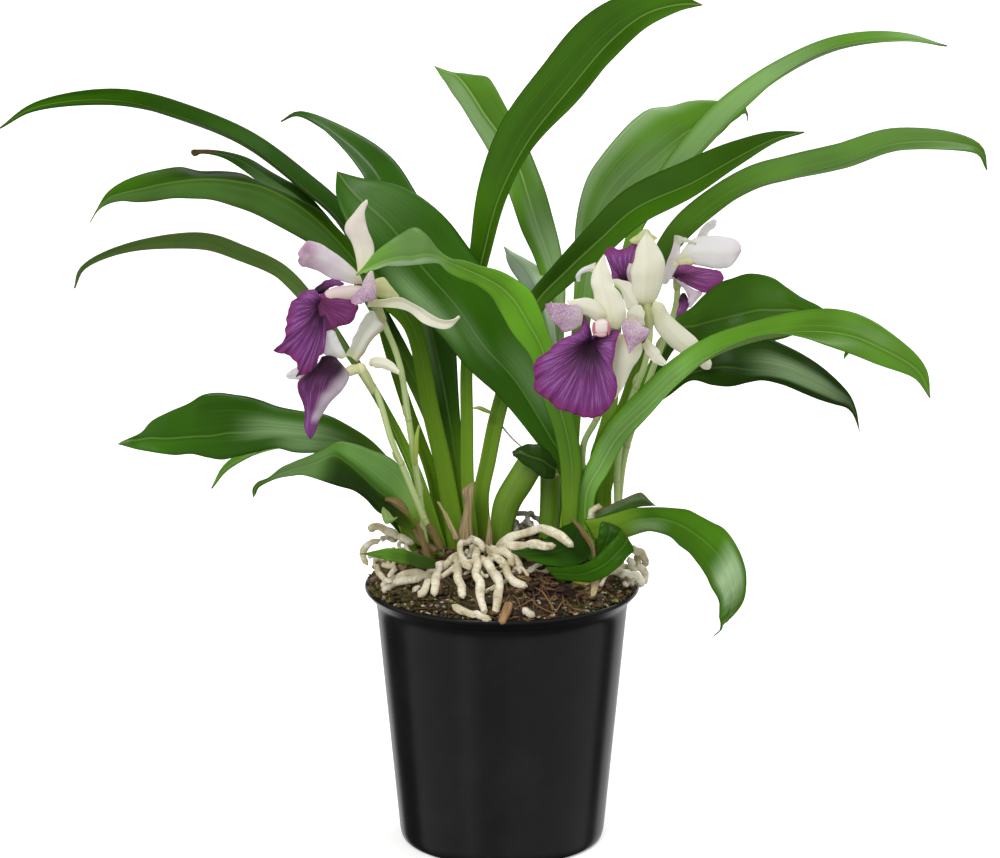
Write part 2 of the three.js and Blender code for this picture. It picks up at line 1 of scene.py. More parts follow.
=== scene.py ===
"""A flowering orchid in a nursery pot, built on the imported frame.

Metres, +Z up, -Y the front, +X the viewer's right. Points are written in millimetres and turned into metres
where a mesh is made. An outline that was read on the photograph is written as it was read, in pixels of its
1000 by 858 frame, with a chosen depth (y) in millimetres.
"""

import math

import bmesh
import bpy
import numpy as np
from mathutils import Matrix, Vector, noise


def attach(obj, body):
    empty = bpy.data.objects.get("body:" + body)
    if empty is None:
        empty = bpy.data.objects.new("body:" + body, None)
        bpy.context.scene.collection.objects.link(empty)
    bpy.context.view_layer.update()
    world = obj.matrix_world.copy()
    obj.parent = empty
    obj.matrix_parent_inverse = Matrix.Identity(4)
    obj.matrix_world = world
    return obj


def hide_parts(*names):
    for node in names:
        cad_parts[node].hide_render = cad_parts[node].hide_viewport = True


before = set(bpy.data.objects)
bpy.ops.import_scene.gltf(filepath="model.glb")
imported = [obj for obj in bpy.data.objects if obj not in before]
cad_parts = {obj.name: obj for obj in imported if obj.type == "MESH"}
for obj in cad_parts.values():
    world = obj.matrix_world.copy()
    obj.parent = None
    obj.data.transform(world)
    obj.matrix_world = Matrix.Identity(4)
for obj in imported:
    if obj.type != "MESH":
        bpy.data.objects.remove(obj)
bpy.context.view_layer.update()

MM = 0.001
FRONT = np.array([0.0, -1.0, 0.0])
UP = np.array([0.0, 0.0, 1.0])
# A full turn in radians, as the scattered bits are placed with it and as the waves of edges are made with it
TURN = 6.2832
WAVE = 6.28

# The camera that took the photograph: its place in millimetres, how many degrees it looks down, and its
# lens, in millimetres for a sensor SENSOR_MM wide and in pixels of the photograph, whose middle is at
# MIDDLE_PX
CAMERA_AT = (-0.9, -1729.0, 602.0)
CAMERA_DOWN = 13.54
SENSOR_MM = 36.0
LENS_MM = 146.9
LENS_PX = 4080
MIDDLE_PX = (500, 429)


# Where the seeds of each kind of piece start
OUTLINED_SEED = 40
STALK_SEED = 20
ROOT_SEED = 40
SMALL_ROOT_SEED = 90
FLOWER_SEED = 200
SCRAP_SEED = 300
TWIG_SEED = 400


# Curves


def in_mm(px, py, depth, fineness):
    """The points seen at pixels of the photograph, at chosen depths and in whole steps of 1 / fineness."""
    right, up = (px - MIDDLE_PX[0]) / LENS_PX, (MIDDLE_PX[1] - py) / LENS_PX
    level, drop = math.cos(math.radians(CAMERA_DOWN)), math.sin(math.radians(CAMERA_DOWN))
    far = (depth - CAMERA_AT[1]) / (level + drop * up)
    points = np.stack([CAMERA_AT[0] + right * far, depth, CAMERA_AT[2] + far * (level * up - drop)], 1)
    return np.round(points * fineness) / fineness


def catmull(points, samples=24):
    """Dense points of the centripetal Catmull-Rom curve through the given points."""
    p = np.asarray(points, float)
    p = np.vstack([2 * p[0] - p[1], p, 2 * p[-1] - p[-2]])
    t = np.linspace(0, 1, samples, endpoint=False)[:, None]
    out = []
    for a, b, c, d in zip(p, p[1:], p[2:], p[3:]):
        t0, t1, t2 = (max(np.linalg.norm(step) ** 0.5, 1e-4) for step in (b - a, c - b, d - c))
        m1 = ((b - a) / t0 - (c - a) / (t0 + t1) + (c - b) / t1) * t1
        m2 = ((c - b) / t1 - (d - b) / (t1 + t2) + (d - c) / t2) * t1
        start, end = (2 * t**3 - 3 * t**2 + 1) * b, (3 * t**2 - 2 * t**3) * c
        out.append(start + (t**3 - 2 * t**2 + t) * m1 + end + (t**3 - t**2) * m2)
    return np.vstack(out + [p[-2][None]])


def run(points):
    """The length along a polyline at each of its points."""
    steps = np.linalg.norm(np.diff(points, axis=0), axis=1)
    return np.concatenate([[0], np.cumsum(steps)])


def spread(points, count):
    """count points evenly spaced by length along a polyline."""
    length = run(points)
    place = np.linspace(0, length[-1], count)
    return np.stack([np.interp(place, length, points[:, k]) for k in range(3)], 1)


def evenly(points, count):
    """count points and unit tangents along the smooth curve through points, and its length."""
    dense = catmull(points)
    p = spread(dense, count)
    t = np.gradient(p, axis=0)
    return p, t / np.linalg.norm(t, axis=1)[:, None], run(dense)[-1]


def turned(vectors, axes, degrees):
    """Each vector turned about its axis by the right-hand rule."""
    a = np.radians(degrees)[:, None]
    along = (axes * vectors).sum(1)[:, None] * axes
    return vectors * np.cos(a) + np.cross(axes, vectors) * np.sin(a) + along * (1 - np.cos(a))


def listed(values, u, soft=0.04):
    """The value at each fraction u along a list of evenly spaced values, rounded off at the corners."""
    values = np.asarray(values, float)
    grid = np.linspace(0, 1, len(values))
    shifts = (-soft, -soft / 2, 0, soft / 2, soft)
    return sum(np.interp(np.clip(u + shift, 0, 1), grid, values) for shift in shifts) / 5


def smooth(t):
    """0 below 0 and 1 above 1, with a soft passage between."""
    t = np.clip(t, 0, 1)
    return t * t * (3 - 2 * t)


def wobble(u, seed, waves):
    """A smooth random line over u, from about -1 to 1."""
    own = np.random.default_rng(seed)
    phase, size = own.uniform(0, WAVE, 4), own.uniform(0.5, 1, 4)
    return sum(size[k] * np.sin(WAVE * waves * (0.6 + 0.37 * k) * u + phase[k]) for k in range(4)) / 2.4


def unit(vectors, least=0.0):
    """Vectors along the last axis made one long. No length is taken as less than least."""
    return vectors / np.maximum(np.linalg.norm(vectors, axis=-1), least)[..., None]


# Meshes


def faces_outward(mesh):
    work = bmesh.new()
    work.from_mesh(mesh)
    bmesh.ops.recalc_face_normals(work, faces=work.faces)
    work.to_mesh(mesh)
    work.free()


def in_scene(name, data):
    """A new object in the scene."""
    made = bpy.data.objects.new(name, data)
    bpy.context.scene.collection.objects.link(made)
    return made


def make_piece(name, verts_mm, faces, material, uv=None, values=None, replaces=()):
    """A smooth-shaded piece riding on the root, with a uv and named values for each vertex."""
    mesh = bpy.data.meshes.new(name)
    mesh.from_pydata((np.asarray(verts_mm) * MM).tolist(), [], faces)
    mesh.polygons.foreach_set("use_smooth", [True] * len(mesh.polygons))
    if uv is not None:
        layer = mesh.uv_layers.new(name="Blade")
        corner = np.zeros(len(mesh.loops), int)
        mesh.loops.foreach_get("vertex_index", corner)
        layer.data.foreach_set("uv", np.asarray(uv, np.float32)[corner].ravel())
    for key, numbers in (values or {}).items():
        mesh.attributes.new(key, "FLOAT", "POINT").data.foreach_set("value", np.asarray(numbers, np.float32))
    faces_outward(mesh)
    mesh.update()
    piece = in_scene(name, mesh)
    mesh.materials.append(material)
    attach(piece, "root")
    if replaces:
        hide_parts(*replaces)
    return piece


def grid_faces(rows, columns, start=0, closed=False, flip=False):
    """Quads of a grid of vertices, rows by columns, the columns closed round if asked."""
    faces = []
    for i in range(start, start + (rows - 1) * columns, columns):
        for j in range(columns if closed else columns - 1):
            k = (j + 1) % columns
            quad = [i + j, i + k, i + columns + k, i + columns + j]
            faces.append(quad[::-1] if flip else quad)
    return faces


def ring_faces(rings, sides):
    """Faces of a body made of closed rings, with its first and last pole as the vertices after them."""
    faces = grid_faces(rings, sides, closed=True)
    poles, last = rings * sides, (rings - 1) * sides
    for j in range(sides):
        k = (j + 1) % sides
        faces += [[poles, k, j], [poles + 1, last + j, last + k]]
    return faces


class Shape:
    """Vertices, faces, UVs and attributes gathered from several parts of one piece."""

    def __init__(self):
        self.verts, self.faces, self.uv, self.values = [], [], [], {}

    def add(self, verts, faces, uv=None, **values):
        start = sum(len(v) for v in self.verts)
        self.verts.append(np.asarray(verts, float))
        self.faces += [[start + k for k in f] for f in faces]
        self.uv.append(np.zeros((len(verts), 2)) if uv is None else np.asarray(uv, float))
        for key, numbers in values.items():
            self.values.setdefault(key, []).append(np.broadcast_to(np.asarray(numbers, float), len(verts)))

    def piece(self, name, material, slot, replaces=()):
        verts, uv = np.vstack(self.verts), np.vstack(self.uv)
        values = {k: np.concatenate(v) for k, v in self.values.items()}
        make_piece(name, verts, self.faces, material, uv, values, replaces)


def blade_part(shape, top, low, u, half, extra):
    """Adds a blade to shape from the grids of its upper and lower surfaces, with its rim closed."""
    rows, columns = top.shape[:2]
    count = rows * columns
    faces = grid_faces(rows, columns) + grid_faces(rows, columns, count, flip=True)
    for i in range(rows - 1):
        a, b = i * columns, (i + 1) * columns
        faces.append([a, b, count + b, count + a])
        a, b = a + columns - 1, b + columns - 1
        faces.append([b, a, count + a, count + b])
    last = (rows - 1) * columns
    for j in range(columns - 1):
        faces.append([j + 1, j, count + j, count + j + 1])
        faces.append([last + j, last + j + 1, count + last + j + 1, count + last + j])
    s = np.tile(np.linspace(-1, 1, columns), rows)
    along = np.repeat(u, columns)
    uv = np.tile(np.stack([0.5 + s / 2, along], 1), (2, 1))
    across, under = np.tile(s * np.repeat(half, columns), 2), np.repeat([0.0, 1.0], count)
    verts = np.vstack([top.reshape(-1, 3), low.reshape(-1, 3)])
    shape.add(verts, faces, uv, across=across, under=under, along=np.tile(along, 2), **extra)


def sheet_part(shape, grid, thick, uv, **values):
    """Adds a closed thin sheet to shape around a grid of points. thick and values may be one per point."""
    rows, columns = grid.shape[:2]
    normal = unit(np.cross(np.gradient(grid, axis=1), np.gradient(grid, axis=0)), 1e-9)
    lift = normal * (np.broadcast_to(thick, (rows, columns)) / 2)[..., None]
    count = rows * columns
    faces = grid_faces(rows, columns, flip=True) + grid_faces(rows, columns, count)
    rim = [i * columns for i in range(rows)] + [(rows - 1) * columns + j for j in range(1, columns)]
    rim += [i * columns + columns - 1 for i in range(rows - 2, -1, -1)] + list(range(columns - 2, 0, -1))
    for a, b in zip(rim, rim[1:] + rim[:1]):
        faces.append([a, b, count + b, count + a])
    both = {key: np.tile(np.broadcast_to(v, (rows, columns)).ravel(), 2) for key, v in values.items()}
    verts = np.vstack([(grid + lift).reshape(-1, 3), (grid - lift).reshape(-1, 3)])
    shape.add(verts, faces, np.tile(uv.reshape(-1, 2), (2, 1)), **both)


def tube_part(shape, path, radius, sides=10, flat=1.0, steps=None, lump=0.0, seed=0, cap=0.6, **values):
    """Adds a closed tube along a smooth path. radius is a number or a list along it; lump roughens it."""
    if steps is None:
        steps = max(8, int(np.linalg.norm(np.diff(np.asarray(path, float), axis=0), axis=1).sum() / 1.6))
    p, t, length = evenly(path, steps)
    u = np.linspace(0, 1, steps)
    r = listed(radius, u) if np.ndim(radius) else np.full(steps, float(radius))
    frames = [unit(np.cross(t[0], UP if abs(t[0][2]) < 0.9 else FRONT))]
    for tangent in t[1:]:
        frames.append(unit(frames[-1] - tangent * (frames[-1] @ tangent)))
    a = np.array(frames)
    b = np.cross(t, a)
    to_end = np.minimum(u, 1 - u) * length / (cap * np.maximum(r, 0.05))
    ends = np.sqrt(np.clip(to_end + 0.02, 0, 1))
    angle = np.linspace(0, 2 * np.pi, sides, endpoint=False)
    own = np.random.default_rng(seed)
    rough = 1 + lump * own.normal(0, 1, (steps, sides)) * 0.35
    if lump:
        swell = 1 + lump * wobble(u, seed + 5, length / 18)
        rough = (rough + np.roll(rough, 1, 0) + np.roll(rough, 1, 1)) / 3 * swell[:, None]
    rr = (r * ends)[:, None] * rough
    ring = p[:, None] + a[:, None] * (np.cos(angle) * rr)[..., None]
    ring = ring + b[:, None] * (np.sin(angle) * rr * flat)[..., None]
    uv = np.vstack([np.stack([np.tile(angle / TURN, steps), np.repeat(u, sides)], 1), [0, 0], [0, 1]])
    along = np.concatenate([np.repeat(u, sides), [0, 1]])
    verts = np.vstack([ring.reshape(-1, 3), p[0], p[-1]])
    shape.add(verts, ring_faces(steps, sides), uv, along=along, **values)


# Materials. A shade is three sRGB values of 0 to 255, and a linear colour has four numbers.


def linear(shade):
    """A shade as a linear colour. Other values stay as they are."""
    if not isinstance(shade, tuple) or len(shade) != 3:
        return shade
    return tuple(((v / 255 + 0.055) / 1.055) ** 2.4 if v > 10 else v / 255 / 12.92 for v in shade) + (1.0,)


def tone(shade, factor, plus=0):
    """A shade made darker or brighter."""
    return tuple(min(255, factor * v + plus) for v in shade)


class Tree:
    """A node tree, built with short calls that return sockets."""

    def __init__(self, owner):
        owner.use_nodes = True
        self.nodes, self.links = owner.node_tree.nodes, owner.node_tree.links

    def node(self, kind, inputs=(), **settings):
        made = self.nodes.new("ShaderNode" + kind)
        for key, value in settings.items():
            setattr(made, key, value)
        for key, value in dict(inputs).items():
            self.put(made.inputs[key], value)
        return made

    def put(self, socket, value):
        if isinstance(value, bpy.types.NodeSocket):
            self.links.new(value, socket)
        else:
            socket.default_value = value

    def maths(self, operation, a, b=0.0, c=0.0, clamp=False):
        return self.node("Math", {0: a, 1: b, 2: c}, operation=operation, use_clamp=clamp).outputs[0]

    def times(self, a, b, clamp=False):
        return self.maths("MULTIPLY", a, b, clamp=clamp)

    def line(self, value, slope, start):
        return self.maths("MULTIPLY_ADD", value, slope, start)

    def step(self, value, low, high, amount=None):
        """0 at low and 1 at high, smooth between them, times amount if given. low may be above high."""
        flip = float(low > high)
        source = {"Value": value, "From Min": min(low, high), "From Max": max(low, high)}
        ends = {"To Min": flip, "To Max": 1 - flip}
        made = self.node("MapRange", {**source, **ends}, interpolation_type="SMOOTHSTEP").outputs[0]
        return made if amount is None else self.times(made, amount)

    def mix(self, amount, a, b, blend="MIX"):
        inputs = {0: amount, 6: linear(a), 7: linear(b)}
        return self.node("Mix", inputs, data_type="RGBA", blend_type=blend).outputs[2]

    def grey(self, level):
        return self.node("CombineColor", {0: level, 1: level, 2: level}).outputs[0]

    def ramp(self, value, *stops):
        made = self.node("ValToRGB", {"Fac": value})
        ramp = made.color_ramp
        while len(ramp.elements) < len(stops):
            ramp.elements.new(0.5)
        for element, (position, shade) in zip(ramp.elements, stops):
            element.position = position
            element.color = linear(shade)
        return made.outputs["Color"]


class Looks(Tree):
    """The node tree of a new material."""

    def __init__(self, name):
        self.material = bpy.data.materials.new(name)
        super().__init__(self.material)
        self.shader = self.nodes["Principled BSDF"]

    def value(self, name):
        return self.node("Attribute", attribute_name=name).outputs["Fac"]

    def place(self, scale=(1, 1, 1), uv=False):
        source = self.node("UVMap", uv_map="Blade") if uv else self.node("TexCoord")
        where = source.outputs["UV" if uv else "Object"]
        return self.node("Mapping", {"Vector": where, "Scale": scale}).outputs[0]

    def off_middle(self):
        """How far across a blade a place is from its middle, up to a half."""
        across = self.node("SeparateXYZ", {0: self.place(uv=True)}).outputs[0]
        return self.maths("ABSOLUTE", self.maths("SUBTRACT", across, 0.5))

    def noise(self, where, scale, detail=3.0, rough=0.55, twist=0.0):
        inputs = {"Vector": where, "Scale": scale, "Detail": detail, "Roughness": rough, "Distortion": twist}
        return self.node("TexNoise", inputs).outputs["Fac"]

    def cells(self, where, scale, output):
        return self.node("TexVoronoi", {"Vector": where, "Scale": scale}).outputs[output]

    def bump(self, height, strength, distance_mm, normal=None):
        inputs = {"Height": height, "Strength": strength, "Distance": distance_mm * MM}
        if normal is not None:
            inputs["Normal"] = normal
        return self.node("Bump", inputs).outputs["Normal"]

    def finish(self, base, rough, normal=None, through=None, share=0.0, **sockets):
        """Sets the shader's sockets. through is the colour of light passing through, and share its part."""
        self.put(self.shader.inputs["Base Color"], base)
        self.put(self.shader.inputs["Roughness"], rough)
        if normal is not None:
            self.put(self.shader.inputs["Normal"], normal)
        for key, number in sockets.items():
            self.shader.inputs[key.replace("_", " ")].default_value = number
        if share:
            glow = self.node("BsdfTranslucent", {"Color": through})
            both = self.node("MixShader", {0: share, 1: self.shader.outputs[0], 2: glow.outputs[0]})
            self.put(self.nodes["Material Output"].inputs["Surface"], both.outputs[0])
        return self.material


def leaf_material(name, upper, lower, rib, rough=0.34, dull=0.0):
    """Waxy leaf: parallel veins, a pale midrib, a paler underside, a yellow-green stalk, and painted light,
    shade and sheen.
    """
    k = Looks(name)
    under, across, stalk = k.value("under"), k.maths("ABSOLUTE", k.value("across")), k.value("stalk")
    veins = k.noise(k.place((34, 1.1, 1), uv=True), 1.0, 2.0)
    fine = k.noise(k.place((110, 2.0, 1), uv=True), 1.0, 2.0)
    cloud = k.noise(k.place(), 20.0, 2.0)
    top = k.mix(k.step(cloud, 0.3, 0.72), tone(upper, 0.86), tone(upper, 1.1))
    top = k.mix(k.step(veins, 0.46, 0.72), top, tone(upper, 1.07, 1))
    low = k.mix(k.step(cloud, 0.3, 0.72), tone(lower, 0.92), tone(lower, 1.07))
    low = k.mix(k.step(veins, 0.48, 0.72), low, tone(lower, 1.07, 1))
    base = k.mix(under, top, low)
    # Painted shade in the hollow beside the midrib, on the upper side only
    painted_groove_shade = k.step(across, 2.4, 0.5, k.maths("SUBTRACT", 1.0, under))
    base = k.mix(k.times(painted_groove_shade, 0.3), base, tone(upper, 0.66))
    base = k.mix(k.step(across, 0.6, 0.2, k.value("rib")), base, rib)
    shade = k.mix(k.step(fine, 0.35, 0.65), (0.96, 0.96, 0.96, 1), (1.03, 1.03, 1.03, 1))
    base = k.mix(1.0, base, shade, "MULTIPLY")
    base = k.mix(stalk, base, k.mix(k.step(fine, 0.3, 0.7), (96, 136, 24), (126, 162, 46)))
    # Painted sheen: greyish patches where a blade would show a soft reflection, broken by the veins
    painted_sheen_amount = k.times(k.value("bloom"), k.line(k.step(veins, 0.3, 0.62), 0.3, 0.6))
    base = k.mix(painted_sheen_amount, base, (150, 178, 130))
    # Pale patches whiten parts of a blade; on the turned leaf this is a painted highlight where its lobe
    # catches light
    base = k.mix(k.value("pale"), base, (172, 196, 158))
    base = k.mix(k.step(k.off_middle(), 0.478, 0.497, 0.5), base, tone(upper, 0.45))
    base = k.mix(k.value("dry"), base, (96, 70, 42))
    # The leaf's brightness, with painted light and shade where patches raise or lower it
    base = k.mix(1.0, base, k.grey(k.value("tint")), "MULTIPLY")
    normal = k.bump(k.maths("ADD", k.times(veins, 0.8), k.times(fine, 0.3)), 0.14, 0.5)
    gloss = k.maths("ADD", k.times(under, 0.14), k.line(veins, 0.1, rough - 0.05))
    through = k.mix(0.35, base, k.mix(1.0, base, (150, 190, 30), "SCREEN"))
    return k.finish(base, gloss, normal, through, 0.2, Specular_IOR_Level=0.22 - 0.2 * dull)


def petal_material(name, pale, blush, share=0.35):
    """Soft petal: faint veins, a green-yellow base, and a blush with speckles where its attribute asks."""
    k = Looks(name)
    along, lilac = k.value("along"), k.value("lilac")
    veins = k.noise(k.place((26, 1.6, 1), uv=True), 1.0, 3.0)
    cloud = k.noise(k.place(), 130.0, 3.0)
    fleck = k.noise(k.place(), 1700.0, 2.0, 0.6)
    base = k.mix(k.step(veins, 0.4, 0.7), pale, tone(pale, 0.985))
    base = k.mix(k.step(along, 0.28, 0.02, 0.5), base, (222, 222, 168))
    base = k.mix(k.times(lilac, k.line(k.step(cloud, 0.3, 0.66), 0.45, 0.4), clamp=True), base, blush)
    spots = k.step(fleck, 0.4, 0.64, lilac)
    base = k.mix(k.times(spots, k.value("speckle")), base, (168, 100, 160))
    base = k.mix(k.times(k.value("dry"), 0.8), base, (150, 126, 84))
    base = k.mix(k.times(k.value("tip"), 0.5), base, (206, 208, 140))
    base = k.mix(k.step(k.off_middle(), 0.13, 0.0, 0.16), base, (206, 206, 160))
    normal = k.bump(k.maths("ADD", veins, k.times(cloud, 0.5)), 0.12, 0.3)
    return k.finish(base, k.line(cloud, 0.15, 0.5), normal, base, share, Specular_IOR_Level=0.3)


def lip_material(name):
    """Velvety lip: dark at the throat, fine paler rays, a magenta margin and a whitish part where asked."""
    k = Looks(name)
    ray, along, margin, pale = (k.value(v) for v in ("ray", "along", "margin", "pale"))
    fan = k.node("CombineXYZ", {0: k.times(ray, 95.0), 1: k.times(along, 2.2)}).outputs[0]
    rays = k.noise(fan, 1.0, 3.0, 0.6, 0.6)
    cloud = k.noise(k.place(), 110.0, 3.0)
    base = k.mix(k.step(along, 0.12, 0.62), (40, 8, 32), (112, 42, 108))
    base = k.mix(k.step(along, 0.4, 0.85, 0.85), base, (142, 72, 148))
    base = k.mix(k.step(cloud, 0.35, 0.7, 0.3), base, (96, 30, 92))
    shown = k.step(along, 0.18, 0.5, k.step(margin, 1.0, 0.82))
    base = k.mix(k.times(k.step(rays, 0.5, 0.64, shown), 0.6), base, (182, 124, 190))
    base = k.mix(k.times(k.step(rays, 0.48, 0.36, shown), 0.55), base, (78, 22, 78))
    base = k.mix(k.step(margin, 0.78, 1.0, 0.75), base, (136, 40, 108))
    base = k.mix(k.value("magenta"), base, (136, 52, 108))
    base = k.mix(k.times(pale, k.line(k.step(cloud, 0.1, 0.5), 0.25, 0.7)), base, (222, 208, 218))
    normal = k.bump(k.maths("ADD", rays, k.times(cloud, 0.4)), 0.3, 0.3)
    velvet = dict(Sheen_Weight=0.1, Sheen_Roughness=0.4, Specular_IOR_Level=0.3)
    return k.finish(base, 0.55, normal, base, 0.2, **velvet)


def stem_material(name, light, dark, dry, rough=0.42):
    """Smooth stalk with fine lengthwise streaks, browning where its attribute asks."""
    k = Looks(name)
    streak = k.noise(k.place((14, 2, 1), uv=True), 1.0, 3.0)
    cloud = k.noise(k.place(), 90.0, 3.0)
    base = k.mix(k.step(streak, 0.2, 0.8), dark, light)
    base = k.mix(k.times(k.value("dry"), k.step(cloud, 0.25, 0.6), clamp=True), base, dry)
    return k.finish(base, rough, k.bump(streak, 0.3, 0.3))


def root_material(name, low, high, stain):
    """Velvety whitish root with painted shade in its creases, brown stains and dirt, green where its attribute
    asks.
    """
    k = Looks(name)
    where = k.place()
    cloud, fine = k.noise(where, 120.0, 4.0, 0.6), k.noise(where, 900.0, 3.0)
    dirt = k.noise(where, 260.0, 4.0, 0.7)
    crease = k.noise(k.place((1.5, 26, 1), uv=True), 1.0, 3.0, 0.7)
    base = k.mix(k.step(cloud, 0.34, 0.62), low, high)
    # The creases painted darker tan: painted shade
    base = k.mix(k.step(crease, 0.5, 0.66, 0.4), base, (170, 150, 112))
    base = k.mix(k.step(dirt, 0.54, 0.68, stain), base, (116, 92, 60))
    base = k.mix(k.step(fine, 0.58, 0.7, 0.3), base, (244, 240, 222))
    base = k.mix(k.times(k.value("green"), 0.75), base, (160, 168, 108))
    base = k.mix(k.value("tip"), base, (176, 170, 110))
    normal = k.bump(fine, 0.4, 0.3, k.bump(k.maths("ADD", cloud, crease), 0.8, 0.9))
    return k.finish(base, 0.85, normal, Sheen_Weight=0.1)


def bark_material(name, *shades, moss=0.0):
    """Broken bark: a shade for each lump, grain, dirt and some moss."""
    k = Looks(name)
    where = k.place()
    pick = k.node("SeparateColor", {0: k.cells(where, 210.0, "Color")}).outputs[0]
    base = k.ramp(pick, *[(i / (len(shades) - 1), shade) for i, shade in enumerate(shades)])
    grain = k.noise(k.place((1, 1, 3.2)), 420.0, 4.0, 0.7)
    dirt = k.noise(where, 60.0, 4.0, 0.6)
    base = k.mix(k.step(grain, 0.62, 0.35), base, (24, 16, 10))
    if moss:
        green = k.mix(k.step(grain, 0.4, 0.6), (52, 50, 18), (104, 98, 40))
        base = k.mix(k.step(dirt, 0.62 - 0.3 * moss, 0.8 - 0.3 * moss, 0.85), base, green)
    normal = k.bump(grain, 0.9, 0.8, k.bump(k.cells(where, 210.0, "Distance"), 0.7, 1.2))
    return k.finish(base, k.line(dirt, 0.3, 0.62), normal)


def pot_material():
    """Gloss black moulded plastic: faint flow streaks, dust and fine scuffs."""
    k = Looks("pot_plastic")
    flow = k.noise(k.place((1, 1, 0.08)), 60.0, 3.0)
    dust = k.noise(k.place(), 34.0, 5.0, 0.7)
    scuff = k.step(k.noise(k.place((1, 1, 9.0)), 90.0, 3.0, 0.8), 0.66, 0.74)
    base = k.mix(k.step(dust, 0.4, 0.8), (0.0065, 0.0065, 0.007, 1), (0.012, 0.012, 0.0125, 1))
    base = k.mix(k.times(scuff, 0.25), base, (0.03, 0.03, 0.032, 1))
    rough = k.maths("ADD", k.line(dust, 0.1, 0.17), k.times(scuff, 0.1))
    return k.finish(base, rough, k.bump(flow, 0.12, 0.4), Specular_IOR_Level=0.3)


# Upper side, underside and midrib of each look, and how rough it is where it isn't waxy
LEAF_SHADES = {
    "deep": ((42, 82, 4), (82, 110, 44), (110, 146, 60)),
    "mid": ((60, 104, 8), (96, 130, 48), (128, 166, 74)),
    "fresh": ((88, 136, 32), (118, 154, 70), (150, 188, 92)),
    # A darker copy of the greens, for leaves that lie in shade: painted shade
    "shade": ((34, 62, 6), (72, 96, 40), (96, 126, 50)),
    "silver": ((150, 172, 146), (176, 190, 172), (190, 204, 186), 0.5),
}


def leaf_skin(look, dull):
    """The material of a look, with less shine where a leaf is dull."""
    name = f"leaf_{look}_{round(100 * dull)}"
    return bpy.data.materials.get(name) or leaf_material(name, *LEAF_SHADES[look], dull=dull)


PETAL_SKINS = {
    "cream": petal_material("petal_cream", (243, 241, 226), (206, 170, 200)),
    "white": petal_material("petal_white", (242, 240, 241), (192, 148, 178)),
    "grey": petal_material("petal_grey", (228, 229, 218), (190, 160, 190)),
    "green": petal_material("petal_green", (218, 220, 170), (190, 180, 150)),
}
COLUMN = petal_material("column_skin", (238, 224, 219), (196, 120, 136), 0.15)
COLUMN_GREEN = petal_material("column_green_skin", (228, 228, 176), (220, 190, 190), 0.15)
LIP = lip_material("lip_velvet")
# Skins of stalks and dry parts: a light and a dark streak, the dry shade and the roughness
STEMS = {
    "ovary": ((192, 202, 142), (154, 162, 104), (158, 150, 104)),
    "stalk": ((196, 212, 150), (158, 180, 104), (150, 134, 84)),
    "stem": ((104, 140, 30), (82, 116, 20), (150, 118, 78), 0.4),
    "sheath": ((150, 126, 88), (84, 66, 42), (74, 56, 38), 0.8),
    "paper": ((178, 158, 116), (96, 78, 48), (112, 88, 58), 0.75),
    "rust": ((136, 116, 62), (76, 58, 28), (70, 50, 28), 0.7),
    "bract": ((168, 194, 78), (128, 152, 54), (150, 130, 80), 0.5),
    "straw": ((200, 186, 138), (138, 118, 76), (150, 130, 88), 0.7),
    "stub": ((76, 110, 36), (46, 76, 18), (104, 74, 50), 0.5),
    "torn": ((150, 176, 96), (88, 116, 44), (200, 208, 170), 0.6),
    "yellow": ((206, 196, 60), (150, 140, 40), (150, 110, 50), 0.6),
    "fibre": ((176, 140, 92), (104, 72, 42), (124, 88, 54), 0.8),
    "grey": ((176, 172, 160), (112, 106, 92), (150, 142, 126), 0.85),
}
SKINS = {name: stem_material(name + "_skin", *shades) for name, shades in STEMS.items()}
ROOT = root_material("root_skin", (200, 186, 150), (238, 231, 206), 0.5)
# A paler copy of the root skin for the clump at the right, which lies in shade: partly the clump's own paler
# colour, partly painted light
PALE_LIT_ROOT = root_material("root_pale_painted_lit_skin", (226, 219, 188), (250, 245, 222), 0.35)
DARK_BARK = ((34, 20, 10), (66, 40, 20), (48, 28, 14), (104, 72, 40), (38, 23, 12))
LIGHT_BARK = ((98, 64, 36), (58, 36, 20), (140, 104, 62), (80, 50, 26), (176, 140, 92))
MIX = bark_material("mix_bark", *DARK_BARK, moss=0.55)
CHIP = bark_material("chip_bark", *LIGHT_BARK, moss=0.25)
CHIP_PALE = bark_material("pale_bark", (206, 190, 160), (176, 150, 116), (224, 214, 190), (150, 120, 88))
PALE_MOSS = bark_material("moss_pale", (214, 208, 140), (166, 160, 84), (230, 226, 186), (128, 126, 54))
MOSS = bark_material("moss_growth", (96, 92, 30), (132, 124, 46), (66, 62, 20), (166, 154, 76), moss=0.6)
CROWN = bark_material("crown_wood", (86, 78, 46), (62, 52, 30), (112, 104, 64), (74, 70, 34), moss=0.8)
POT = pot_material()


# Leaves

BLADE_THICK = 0.65
STALK_EXTRA = 1.4
KEEL = 0.9
KEEL_HALF_WIDTH = 1.3
OUTLINED_KEEL = 0.8
EDGE_WAVE = 0.35
# A blade's section bends round its midrib: the rounding there, what that lifts the midrib, and the rise of
# an edge
RIB_ROUNDING = 0.015
RIB_LIFT = 0.1225
EDGE_RISE = 0.885
# How far a leaf's base is carried down into the plant, in how many rows, and how far for one on a stub
SINK = 7.0
SINK_ROWS = 4
SHORT_SINK = 0.5
BLADE_COLUMNS = 19
NARROW_COLUMNS = 9
STATION_GAP = 2.6
# Steps per millimetre that the points of outlined leaves are snapped to, in x, y and z
LEAF_READING = np.array([2, 1, 2])
